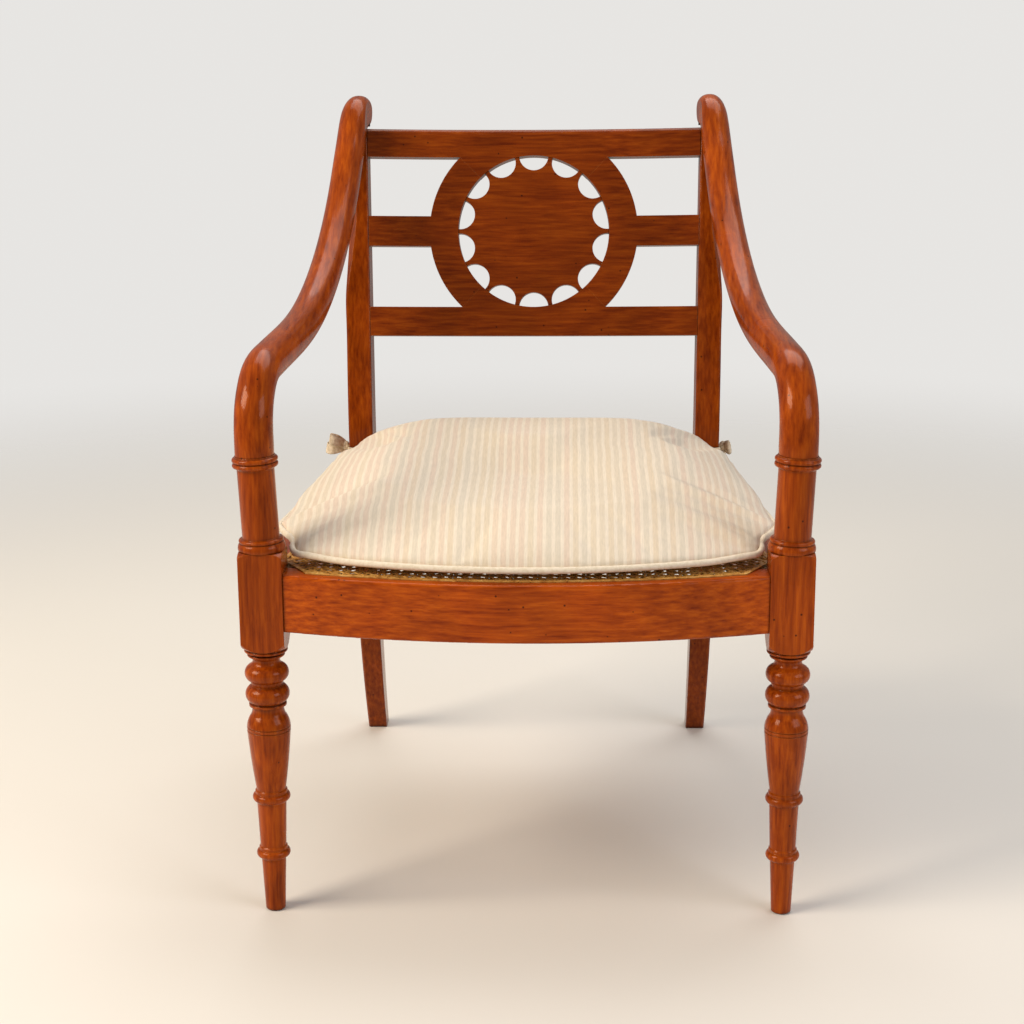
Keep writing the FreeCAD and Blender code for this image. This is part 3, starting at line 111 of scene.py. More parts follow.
def polished_mahogany(name, stretch, depth=1.0):
    """French-polished mahogany: deep red-brown under a glassy film, with lighter, worn arrises.

    The grain runs along the axis on which stretch is under one, and depth scales the wood's
    brightness as painted light and shade.
    """
    made, tree = new_material(name)
    place = add(tree, "ShaderNodeTexCoord").outputs["Object"]
    along = add(tree, "ShaderNodeMapping", {"Vector": place, "Scale": stretch}).outputs["Vector"]
    wander = add(
        tree, "ShaderNodeTexNoise", {"Vector": place, "Scale": WANDERS_PER_METRE, "Detail": 2.0}
    ).outputs["Color"]
    bent = add(
        tree,
        "ShaderNodeMix",
        {"Factor": 0.003, 6: along, 7: wander},
        data_type="RGBA",
        blend_type="LINEAR_LIGHT",
    ).outputs[2]
    streaks = add(
        tree,
        "ShaderNodeTexNoise",
        {"Vector": bent, "Scale": 1 / STREAK_WIDTH, "Detail": 5.0, "Roughness": 0.62},
    ).outputs["Fac"]
    pores = add(
        tree,
        "ShaderNodeTexNoise",
        {"Vector": bent, "Scale": 1 / PORE_WIDTH, "Detail": 2.0, "Roughness": 0.5},
    ).outputs["Fac"]
    blotches = add(
        tree, "ShaderNodeTexNoise", {"Vector": place, "Scale": 1 / BLOTCH_WIDTH, "Detail": 3.0}
    ).outputs["Fac"]
    figure = ramp(
        tree,
        streaks,
        [(0.28, MAHOGANY_DARK), (0.52, MAHOGANY_MID), (0.78, MAHOGANY_LIGHT)],
    )
    # Random tone from the blotches, scaled by depth, which paints the piece lighter or darker as
    # painted light and shade.
    tone = add(
        tree,
        "ShaderNodeMapRange",
        {
            "Value": blotches,
            "From Min": 0.35,
            "From Max": 0.7,
            "To Min": 0.84 * depth,
            "To Max": 1.12 * depth,
        },
    ).outputs["Result"]
    toned = add(
        tree, "ShaderNodeHueSaturation", {"Color": figure, "Value": tone}
    ).outputs["Color"]
    pore_mask = add(
        tree,
        "ShaderNodeMapRange",
        {"Value": pores, "From Min": 0.62, "From Max": 0.76, "To Max": 0.4},
    ).outputs["Result"]
    pored = add(
        tree,
        "ShaderNodeMix",
        {"Factor": pore_mask, 6: toned, 7: linear(MAHOGANY_DARK)},
        data_type="RGBA",
    ).outputs[2]
    rounded = add(
        tree, "ShaderNodeBevel", {"Radius": ARRIS_ROUND}, samples=4
    ).outputs["Normal"]
    flat = add(tree, "ShaderNodeNewGeometry").outputs["Normal"]
    facing = add(
        tree, "ShaderNodeVectorMath", {0: rounded, 1: flat}, operation="DOT_PRODUCT"
    ).outputs["Value"]
    arris = add(
        tree,
        "ShaderNodeMapRange",
        {"Value": facing, "From Min": 0.985, "From Max": 0.86, "To Max": 0.55},
    ).outputs["Result"]
    worn_here = add(
        tree, "ShaderNodeMath", {0: arris, 1: blotches}, operation="MULTIPLY"
    ).outputs["Value"]
    worn = add(
        tree,
        "ShaderNodeMix",
        {"Factor": worn_here, 6: pored, 7: linear(MAHOGANY_WORN)},
        data_type="RGBA",
    ).outputs[2]
    # Painted shade: where other surfaces close the wood in, in corners and recesses, it is
    # darkened towards the near-black wax colour.
    open_air = add(
        tree, "ShaderNodeAmbientOcclusion", {"Distance": CREVICE_REACH}, samples=6
    ).outputs["AO"]
    crevice_painted_shade = add(
        tree,
        "ShaderNodeMapRange",
        {"Value": open_air, "From Min": 0.9, "From Max": 0.35, "To Max": 0.75},
    ).outputs["Result"]
    shaded_in_corners = add(
        tree,
        "ShaderNodeMix",
        {"Factor": crevice_painted_shade, 6: worn, 7: linear(WAX_SPECK_AND_SHADE)},
        data_type="RGBA",
    ).outputs[2]
    cells = add(
        tree,
        "ShaderNodeTexVoronoi",
        {"Vector": place, "Scale": SPECKS_PER_METRE, "Randomness": 1.0},
    )
    near = add(
        tree,
        "ShaderNodeMapRange",
        {"Value": cells.outputs["Distance"], "From Min": 0.10, "From Max": 0.06, "To Max": 0.85},
    ).outputs["Result"]
    picked = add(
        tree, "ShaderNodeSeparateColor", {"Color": cells.outputs["Color"]}
    ).outputs["Red"]
    chosen = add(
        tree, "ShaderNodeMath", {0: picked, 1: 0.5}, operation="GREATER_THAN"
    ).outputs["Value"]
    speck = add(
        tree, "ShaderNodeMath", {0: near, 1: chosen}, operation="MULTIPLY"
    ).outputs["Value"]
    specked = add(
        tree,
        "ShaderNodeMix",
        {"Factor": speck, 6: shaded_in_corners, 7: linear(WAX_SPECK_AND_SHADE)},
        data_type="RGBA",
    ).outputs[2]
    dents = add(
        tree, "ShaderNodeTexNoise", {"Vector": place, "Scale": DENTS_PER_METRE, "Detail": 3.0}
    ).outputs["Fac"]
    hollow = add(
        tree, "ShaderNodeMath", {0: dents, 1: pore_mask, 2: -0.25}, operation="MULTIPLY_ADD"
    ).outputs["Value"]
    surface = add(
        tree,
        "ShaderNodeBump",
        {"Height": hollow, "Normal": rounded, "Strength": 0.10, "Distance": 0.002},
    ).outputs["Normal"]
    gloss = add(
        tree,
        "ShaderNodeMapRange",
        {"Value": blotches, "From Min": 0.3, "From Max": 0.7, "To Min": 0.20, "To Max": 0.30},
    ).outputs["Result"]
    shader = add(
        tree,
        "ShaderNodeBsdfPrincipled",
        {
            "Base Color": specked,
            "Roughness": gloss,
            "IOR": 1.45,
            "Specular IOR Level": 0.26,
            "Normal": surface,
            "Specular Tint": linear(SHELLAC_GLINT),
            "Coat Weight": 0.18,
            "Coat Tint": linear(SHELLAC_FILM),
            "Coat Roughness": 0.09,
            "Coat IOR": 1.5,
            "Coat Normal": surface,
        },
    )
    add(tree, "ShaderNodeOutputMaterial", {"Surface": shader.outputs["BSDF"]})
    return made


def finish(names, material):
    """Gives CAD pieces a material in place of the plain one."""
    for name in names:
        mesh = nodes[name].data
        mesh.materials.clear()
        mesh.materials.append(material)


# Painted light and shade: the same mahogany is drawn lighter on the front rail and darker on the
# posts and back panel, by how the light falls on each piece.
PAINTED_LIGHT_FRONT = 1.22
PAINTED_LIGHT_LEG = 0.95
PAINTED_LIGHT_POST = 0.66
PAINTED_LIGHT_BACK = 0.58
ARM_STRETCH = (1.0, 0.12, 0.16)
fine = 1 / STREAK_STRETCH
grain_front = polished_mahogany("mahogany_front_rail", (fine, 1.0, 1.0), PAINTED_LIGHT_FRONT)
grain_back = polished_mahogany("mahogany_back_panel", (fine, 1.0, 1.0), PAINTED_LIGHT_BACK)
grain_side = polished_mahogany("mahogany_side_rail", (1.0, fine, 1.0))
grain_leg = polished_mahogany("mahogany_turned_leg", (1.0, 1.0, fine), PAINTED_LIGHT_LEG)
grain_post = polished_mahogany("mahogany_back_post", (1.0, 1.0, fine), PAINTED_LIGHT_POST)
grain_arm = polished_mahogany("mahogany_arm", ARM_STRETCH, PAINTED_LIGHT_LEG)

sides = ("left", "right")
finish([f"front_leg_{side}" for side in sides], grain_leg)
finish([f"arm_support_{side}" for side in sides], grain_leg)
finish([f"back_post_{side}" for side in sides], grain_post)
finish([f"arm_{side}" for side in sides], grain_arm)
finish([f"side_seat_rail_{side}" for side in sides], grain_side)
finish(["front_seat_rail"], grain_front)
finish(["back_seat_rail", "crest_rail", "lower_back_rail", "wheel_disc"], grain_back)
finish([f"middle_back_rail_{side}" for side in sides], grain_back)


# Hidden wood: corner blocks and dowels.
# Beech, sawn and planed but never stained or polished, so it is pale, dry and matt.

BEECH_PALE = "#c9a377"
BEECH_DARK = "#a57c50"
BEECH_FLECK = 0.003
BEECH_STRETCH = (0.15, 1.0, 1.0)


def bare_beech():
    """Planed beech: pale and matt, with short dark flecks along the grain."""
    made, tree = new_material("beech_planed")
    place = add(tree, "ShaderNodeTexCoord").outputs["Object"]
    along = add(
        tree, "ShaderNodeMapping", {"Vector": place, "Scale": BEECH_STRETCH}
    ).outputs["Vector"]
    fleck = add(
        tree, "ShaderNodeTexNoise", {"Vector": along, "Scale": 1 / BEECH_FLECK, "Detail": 3.0}
    ).outputs["Fac"]
    colour = ramp(tree, fleck, [(0.35, BEECH_DARK), (0.65, BEECH_PALE)])
    surface = add(
        tree, "ShaderNodeBump", {"Height": fleck, "Strength": 0.2, "Distance": 0.0004}
    ).outputs["Normal"]
    shader = add(
        tree,
        "ShaderNodeBsdfPrincipled",
        {"Base Color": colour, "Roughness": 0.7, "IOR": 1.5, "Normal": surface},
    )
    add(tree, "ShaderNodeOutputMaterial", {"Surface": shader.outputs["BSDF"]})
    return made


beech = bare_beech()
finish([f"{end}_corner_block_{side}" for end in ("front", "rear") for side in sides], beech)
finish(["wheel_dowels"], beech)


# Pegs through the arms' heads.
# Ebony-dark hardwood, driven flush and polished over with the arm.

PEG_DARK = "#23110b"
PEG_RING = "#3a1f13"
PEG_RINGS_PER_METRE = 900.0


def dark_peg():
    """Hardwood end grain: almost black, with rings about a millimetre apart."""
    made, tree = new_material("hardwood_end_grain")
    place = add(tree, "ShaderNodeTexCoord").outputs["Object"]
    rings = add(
        tree, "ShaderNodeTexNoise", {"Vector": place, "Scale": PEG_RINGS_PER_METRE}
    ).outputs["Fac"]
    colour = ramp(tree, rings, [(0.4, PEG_DARK), (0.6, PEG_RING)])
    shader = add(
        tree,
        "ShaderNodeBsdfPrincipled",
        {"Base Color": colour, "Roughness": 0.4, "IOR": 1.5},
    )
    add(tree, "ShaderNodeOutputMaterial", {"Surface": shader.outputs["BSDF"]})
    return made


finish(["arm_pegs"], dark_peg())


# Screws in the corner blocks.
# Plain steel wood screws, turned bright and since dulled by a thin brown tarnish.

STEEL_GREY = "#8f8a84"
STEEL_TARNISH = "#5f4c3c"
STAINS_PER_METRE = 260.0


def dull_steel():
    """Turned steel under tarnish: a soft grey shine in brown patches about 4 mm wide."""
    made, tree = new_material("steel_tarnished")
    place = add(tree, "ShaderNodeTexCoord").outputs["Object"]
    stain = add(
        tree, "ShaderNodeTexNoise", {"Vector": place, "Scale": STAINS_PER_METRE}
    ).outputs["Fac"]
    colour = ramp(tree, stain, [(0.42, STEEL_GREY), (0.62, STEEL_TARNISH)])
    shader = add(
        tree,
        "ShaderNodeBsdfPrincipled",
        {"Base Color": colour, "Metallic": 1.0, "Roughness": 0.42},
    )
    add(tree, "ShaderNodeOutputMaterial", {"Surface": shader.outputs["BSDF"]})
    return made


finish(["corner_block_screws"], dull_steel())


# Cane seat: pairs of strands across and deep, and single strands on both diagonals.
# Split rattan bark, drawn tight through holes drilled in the frame. The bark is smooth and
# slightly glossy, and has darkened to gold and brown.

CANE_PITCH = 0.0125
CANE_PAIR = 0.0020
CANE_STRAND = 0.0037
CANE_DEPTH = 0.0007
CANE_WAVE = 0.0005
CANE_LINES = 60
CANE_GOLD = "#d09a4a"
CANE_BROWN = "#a36c2e"
CANE_PALE = "#e6bb70"
# Colour of the painted shade where the strands cross.
CANE_CROSSING_SHADE = "#4a2b10"
CANE_PATCHES_PER_METRE = 130.0
CANE_FIBRE = 0.000625
CREASE_REACH = 0.004


def varnished_cane():
    """Rattan bark: gold in uneven patches and silky along its fibres, with painted shade darkening
    it brown where strands cross.
    """
    made, tree = new_material("rattan_cane_varnished")
    place = add(tree, "ShaderNodeTexCoord").outputs["Object"]
    patch = add(
        tree,
        "ShaderNodeTexNoise",
        {"Vector": place, "Scale": CANE_PATCHES_PER_METRE, "Detail": 4.0},
    ).outputs["Fac"]
    fibre = add(
        tree, "ShaderNodeTexNoise", {"Vector": place, "Scale": 1 / CANE_FIBRE, "Detail": 2.0}
    ).outputs["Fac"]
    colour = ramp(
        tree, patch, [(0.32, CANE_BROWN), (0.52, CANE_GOLD), (0.74, CANE_PALE)]
    )
    # Painted shade: where nearby strands close the cane in, at the crossings, it is darkened
    # towards dark brown.
    shade = add(
        tree, "ShaderNodeAmbientOcclusion", {"Distance": CREASE_REACH}, samples=6
    ).outputs["AO"]
    painted_crossing_shade = add(
        tree,
        "ShaderNodeMapRange",
        {"Value": shade, "From Min": 0.7, "From Max": 0.1, "To Max": 0.7},
    ).outputs["Result"]
    shaded_at_crossings = add(
        tree,
        "ShaderNodeMix",
        {"Factor": painted_crossing_shade, 6: colour, 7: linear(CANE_CROSSING_SHADE)},
        data_type="RGBA",
    ).outputs[2]
    surface = add(
        tree, "ShaderNodeBump", {"Height": fibre, "Strength": 0.25, "Distance": 0.0003}
    ).outputs["Normal"]
    shader = add(
        tree,
        "ShaderNodeBsdfPrincipled",
        {
            "Base Color": shaded_at_crossings,
            "Roughness": 0.38,
            "IOR": 1.5,
            "Normal": surface,
            "Coat Weight": 0.2,
            "Coat Roughness": 0.2,
        },
    )
    add(tree, "ShaderNodeOutputMaterial", {"Surface": shader.outputs["BSDF"]})
    return made


cane = varnished_cane()
finish(["cane_binder"], cane)


def edge_loop(name, height):
    """The corners of a flat CAD piece's outer edge, in order, from its vertices at a height."""
    seen = {}
    for vertex in nodes[name].data.vertices:
        if abs(vertex.co.z - height) < 0.0002:
            key = (round(vertex.co.x, 5), round(vertex.co.y, 5))
            seen[key] = Vector((vertex.co.x, vertex.co.y))
    centre = sum(seen.values(), Vector((0, 0))) / len(seen)
    return sorted(seen.values(), key=lambda p: math.atan2(p.y - centre.y, p.x - centre.x))


def crossings(edge, start, along):
    """Where a straight line crosses a closed edge, as distances along the line."""
    found = []
    across = Vector((-along.y, along.x))
    for one, two in zip(edge, edge[1:] + edge[:1]):
        side_one = (one - start).dot(across)
        side_two = (two - start).dot(across)
        if (side_one > 0) != (side_two > 0):
            share = side_one / (side_one - side_two)
            found.append((one.lerp(two, share) - start).dot(along))
    return sorted(found)


def strand(mesh, points, width, depth):
    """A flat strand with a rounded top along a line of points."""
    rows = []
    for number, point in enumerate(points):
        before = points[max(number - 1, 0)]
        after = points[min(number + 1, len(points) - 1)]
        flat = (after - before).normalized()
        across = Vector((-flat.y, flat.x, 0)).normalized() * (width / 2)
        up = Vector((0, 0, depth / 2))
        corners = [point - across - up, point - across * 0.75 + up * 0.6, point + up]
        corners += [point + across * 0.75 + up * 0.6, point + across - up]
        rows.append([mesh.verts.new(corner) for corner in corners])
    for one, two in zip(rows, rows[1:]):
        for number in range(5):
            following = (number + 1) % 5
            mesh.faces.new((one[number], one[following], two[following], two[number]))
    mesh.faces.new(rows[0][::-1])
    mesh.faces.new(rows[-1])


def finished(mesh, name, material, smooth=True):
    """A new object from mesh data, with its material."""
    bmesh.ops.recalc_face_normals(mesh, faces=mesh.faces)
    data = bpy.data.meshes.new(name)
    mesh.to_mesh(data)
    mesh.free()
    data.materials.append(material)
    made = bpy.data.objects.new(name, data)
    scene.collection.objects.link(made)
    for face in data.polygons:
        face.use_smooth = smooth
    return made


def cane_weave():
    """The woven seat: each lay of strands a little above the last, cut off at the panel's edge."""
    low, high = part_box("cane_panel")
    edge = edge_loop("cane_panel", high[2])
    middle = Vector(((low[0] + high[0]) / 2, (low[1] + high[1]) / 2))
    level = (low[2] + high[2]) / 2
    mesh = bmesh.new()
    diagonal = math.sqrt(0.5)
    lays = [
        (Vector((0, 1)), 0.0, (-CANE_PAIR, CANE_PAIR), -0.5),
        (Vector((1, 0)), 0.0, (-CANE_PAIR, CANE_PAIR), 0.5),
        (Vector((diagonal, diagonal)), 0.5, (0.0,), 1.0),
        (Vector((diagonal, -diagonal)), 0.5, (0.0,), 1.5),
    ]
    for along, shift, pair, lift in lays:
        across = Vector((-along.y, along.x))
        step = CANE_PITCH * (diagonal if shift else 1.0)
        for line in range(-CANE_LINES, CANE_LINES + 1):
            for number, offset in enumerate(pair):
                start = middle + across * ((line + shift) * step + offset)
                ends = crossings(edge, start, along)
                if len(ends) < 2 or ends[-1] - ends[0] < CANE_PITCH:
                    continue
                count = max(2, round((ends[-1] - ends[0]) / CANE_PITCH * 2))
                points = []
                for at in range(count + 1):
                    distance = ends[0] + (ends[-1] - ends[0]) * at / count
                    flat = start + along * distance
                    wave = math.cos(math.pi * (at + line + number)) * CANE_WAVE
                    ends_low = 1 if 0 < at < count else 0
                    height = level + (lift * CANE_DEPTH + wave) * ends_low
                    points.append(Vector((flat.x, flat.y, height)))
                strand(mesh, points, CANE_STRAND, CANE_DEPTH)
    return finished(mesh, "cane_weave", cane)


weave = cane_weave()
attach(weave, "chair_frame")
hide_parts("cane_panel")


# Ties over the binder: at each hole in the frame a loop of fine cane holds the binder down.
# The same rattan bark as the seat, split narrower, drawn up through one hole and down again.

TIE_STRAND = 0.0018
TIE_ARCH = [(0.0, 0.0009), (0.0008, 0.0), (0.0025, -0.0003), (0.0042, 0.0), (0.005, 0.0009)]


def walk(edge, step):
    """Points at even steps round a closed edge, each with the direction there."""
    total = sum((two - one).length for one, two in zip(edge, edge[1:] + edge[:1]))
    count = round(total / step)
    found = []
    left = 0.0
    for one, two in zip(edge, edge[1:] + edge[:1]):
        run = two - one
        while left < run.length and len(found) < count:
            found.append((one + run.normalized() * left, run.normalized()))
            left += total / count
        left -= run.length
    return found


def binder_ties():
    """A short arched strand across the binder at each hole, all round the seat."""
    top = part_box("cane_binder")[1][2]
    edge = edge_loop("cane_panel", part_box("cane_panel")[1][2])
    mesh = bmesh.new()
    for place, along in walk(edge, CANE_PITCH):
        inward = Vector((-along.y, along.x))
        points = []
        for reach, drop in TIE_ARCH:
            flat = place + inward * reach
            points.append(Vector((flat.x, flat.y, top - drop)))
        strand(mesh, points, TIE_STRAND, CANE_DEPTH)
    return finished(mesh, "binder_ties", cane)


ties = binder_ties()
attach(ties, "chair_frame")


# Loose cushion: a shallow pillow cut to the seat, stepped in beside the leg blocks.
# Two panels of striped woven cotton, sewn together over a soft filling. The stripes run from
# back to front, and the filling pushes the top panel up and pulls the seam in.

# The seam's corners from the middle of the front: x, y and the corner's radius.
CUSHION_EDGE = [
    (0.0, -0.3499, 0.6026),
    (0.2428, -0.2517, 0.013),
    (0.2428, -0.2330, 0.009),
    (0.2632, -0.1990, 0.015),
    (0.2255, 0.1765, 0.036),
]
# The seam's height by its place from front to back: it dips at the front over the bowed rail.
SEAM_HEIGHTS = [
    (-0.310, 0.3958),
    (-0.275, 0.3965),
    (-0.255, 0.3995),
    (-0.240, 0.4040),
    (-0.222, 0.4100),
    (-0.195, 0.4140),
    (-0.060, 0.4125),
    (0.180, 0.4160),
]
CUSHION_TOP = 0.4550
CUSHION_REAR_RISE = 0.07
CUSHION_MIDDLE = (0.0, -0.065)
CUSHION_RINGS = [0.12, 0.3, 0.45, 0.6, 0.72, 0.82, 0.9, 0.955, 0.985]
CUSHION_UNDERSIDE = 0.3856
SIDE_BULGE = 0.011
BULGE_RINGS = {0.985: 0.75, 0.955: 1.0, 0.9: 0.75, 0.82: 0.35}
BULGE_RUN = [(-0.19, 0.0), (-0.08, 1.0), (0.09, 1.0), (0.165, 0.0)]
CUSHION_VOXEL = 0.005
CUSHION_PRESSURE = 4.0
CUSHION_STRETCH = 12.0
CUSHION_BEND = 0.6
CUSHION_SWELL = 0.009
CUSHION_FRAMES = 20
SEAM_REACH = 0.0038
STRIPE_PITCH = 0.0093
THREAD = 0.0009
COTTON_CREAM = "#e5d8c3"
COTTON_TAN = "#dccbb0"
COTTON_ROSE = "#ddc9b3"
COTTON_GREY = "#d8ccb7"
COTTON_LINE = "#b9a88a"


def between(table, at):
    """A value read from a table of (place, value) pairs, with smooth steps between them."""
    if at <= table[0][0]:
        return table[0][1]
    for (low, first), (high, second) in zip(table, table[1:]):
        if at <= high:
            share = (at - low) / (high - low)
            return first + (second - first) * share * share * (3 - 2 * share)
    return table[-1][1]


def cushion_edge(step=0.005):
    """Points round the cushion's seam, with its corners rounded, from the middle of the front."""
    right = [(Vector((x, y)), radius) for x, y, radius in CUSHION_EDGE]
    left = [(Vector((-point.x, point.y)), radius) for point, radius in right[:0:-1]]
    corners = right + left
    found = []
    for number, (point, radius) in enumerate(corners):
        before = (corners[number - 1][0] - point).normalized()
        after = (corners[(number + 1) % len(corners)][0] - point).normalized()
        half = before.angle(after) / 2
        back = radius / math.tan(half)
        centre = point + (before + after).normalized() * (radius / math.sin(half))
        start = point + before * back - centre
        turn = start.angle_signed(point + after * back - centre)
        count = max(4, round(abs(turn) * radius / step))
        for at in range(count + 1):
            angle = -turn * at / count
            found.append(
                centre
                + Vector(
                    (
                        start.x * math.cos(angle) - start.y * math.sin(angle),
                        start.x * math.sin(angle) + start.y * math.cos(angle),
                    )
                )
            )
    return [place for place, along in walk(found, step)]


def outward_at(edge, number):
    """The level direction square to a closed edge, away from its middle."""
    ahead = edge[(number + 1) % len(edge)] - edge[number - 1]
    return Vector((ahead.y, -ahead.x)).normalized()


def cushion_blank(seam_edge):
    """The closed form before the filling swells it, in rings drawn in towards the middle."""
    edge = []
    for number, point in enumerate(seam_edge):
        edge.append(point + outward_at(seam_edge, number) * SEAM_REACH)
    middle = Vector(CUSHION_MIDDLE)
    mesh = bmesh.new()
    rings = []
    levels = [(scale, -1) for scale in CUSHION_RINGS] + [(1.0, 0)]
    levels += [(scale, 1) for scale in CUSHION_RINGS[::-1]]
    for scale, side in levels:
        ring = []
        for point in edge:
            seam = between(SEAM_HEIGHTS, point.y)
            place = middle + (point - middle) * scale
            if side > 0:
                crown = CUSHION_TOP + CUSHION_REAR_RISE * (point.y - middle.y)
                height = seam + (crown - seam) * (1 - scale ** 4.4) ** 0.56
                out = SIDE_BULGE * BULGE_RINGS.get(scale, 0.0) * between(BULGE_RUN, point.y)
                place.x += math.copysign(out, point.x) if abs(point.x) > 0.2 else 0.0
            elif side < 0:
                height = seam + (CUSHION_UNDERSIDE - seam) * (1 - scale ** 9) ** 0.8
            else:
                height = seam
            ring.append(mesh.verts.new((place.x, place.y, height)))
        rings.append(ring)
    for one, two in zip(rings, rings[1:]):
        for number in range(len(edge)):
            following = (number + 1) % len(edge)
            mesh.faces.new((one[number], one[following], two[following], two[number]))
    for ring, height in ((rings[0], CUSHION_UNDERSIDE), (rings[-1], CUSHION_TOP)):
        pole = mesh.verts.new((middle.x, middle.y, height))
        for number in range(len(edge)):
            mesh.faces.new((ring[number], ring[(number + 1) % len(edge)], pole))
    return mesh


def baked(made):
    """The object's mesh with its modifiers applied."""
    bpy.context.view_layer.update()
    graph = bpy.context.evaluated_depsgraph_get()
    data = bpy.data.meshes.new_from_object(made.evaluated_get(graph))
    made.modifiers.clear()
    made.data = data


def swollen(made, edge):
    """Lets the cloth swell under the filling's pressure, held at its seam and where it rests."""
    start = [vertex.co.copy() for vertex in made.data.vertices]
    held = made.vertex_groups.new(name="held")
    seam = [Vector((p.x, p.y, between(SEAM_HEIGHTS, p.y))) for p in edge]
    for number, place in enumerate(start):
        nearest = min((place - point).length_squared for point in seam)
        if nearest < 0.0055 ** 2 or place.z < CUSHION_UNDERSIDE + 0.001:
            held.add([number], 1.0, "REPLACE")
    cloth = made.modifiers.new("cloth", "CLOTH")
    cloth.settings.use_pressure = True
    cloth.settings.uniform_pressure_force = CUSHION_PRESSURE
    cloth.settings.effector_weights.gravity = 0.0
    cloth.settings.vertex_group_mass = "held"
    cloth.settings.tension_stiffness = CUSHION_STRETCH
    cloth.settings.compression_stiffness = CUSHION_STRETCH
    cloth.settings.bending_stiffness = CUSHION_BEND
    cloth.point_cache.frame_end = CUSHION_FRAMES
    for number in range(1, CUSHION_FRAMES + 1):
        scene.frame_set(number)
    baked(made)
    for vertex, place in zip(made.data.vertices, start):
        move = vertex.co - place
        if move.length > CUSHION_SWELL:
            vertex.co = place + move.normalized() * CUSHION_SWELL
    scene.frame_set(1)


def lay_stripes(made):
    """Stores how far round the cloth each point lies, across and along the stripes."""
    step = 0.006
    columns = 46
    rows = 84
    front = -0.33
    tree = BVHTree.FromObject(made, bpy.context.evaluated_depsgraph_get())
    across = []
    for row in range(rows):
        y = front + row * step
        total = 0.0
        line = [0.0]
        last = None
        for column in range(columns):
            hit = tree.ray_cast(Vector((column * step, y, 0.6)), Vector((0, 0, -1)))[0]
            height = hit.z if hit else last
            if height is not None and last is not None:
                total += math.hypot(step, max(-0.012, min(0.012, height - last)))
                line.append(total)
            elif column:
                total += step
                line.append(total)
            last = height
        across.append(line)
    data = made.data
    layer = data.attributes.new("cloth", "FLOAT_VECTOR", "POINT")
    for number, vertex in enumerate(data.vertices):
        x, y = abs(vertex.co.x), vertex.co.y
        row = min(max((y - front) / step, 0), rows - 1.001)
        column = min(x / step, columns - 1.001)
        i, j = int(row), int(column)
        di, dj = row - i, column - j
        one = across[i][j] * (1 - dj) + across[i][j + 1] * dj
        two = across[i + 1][j] * (1 - dj) + across[i + 1][j + 1] * dj
        u = math.copysign(one * (1 - di) + two * di, vertex.co.x)
        layer.data[number].vector = (u, y, vertex.co.z)


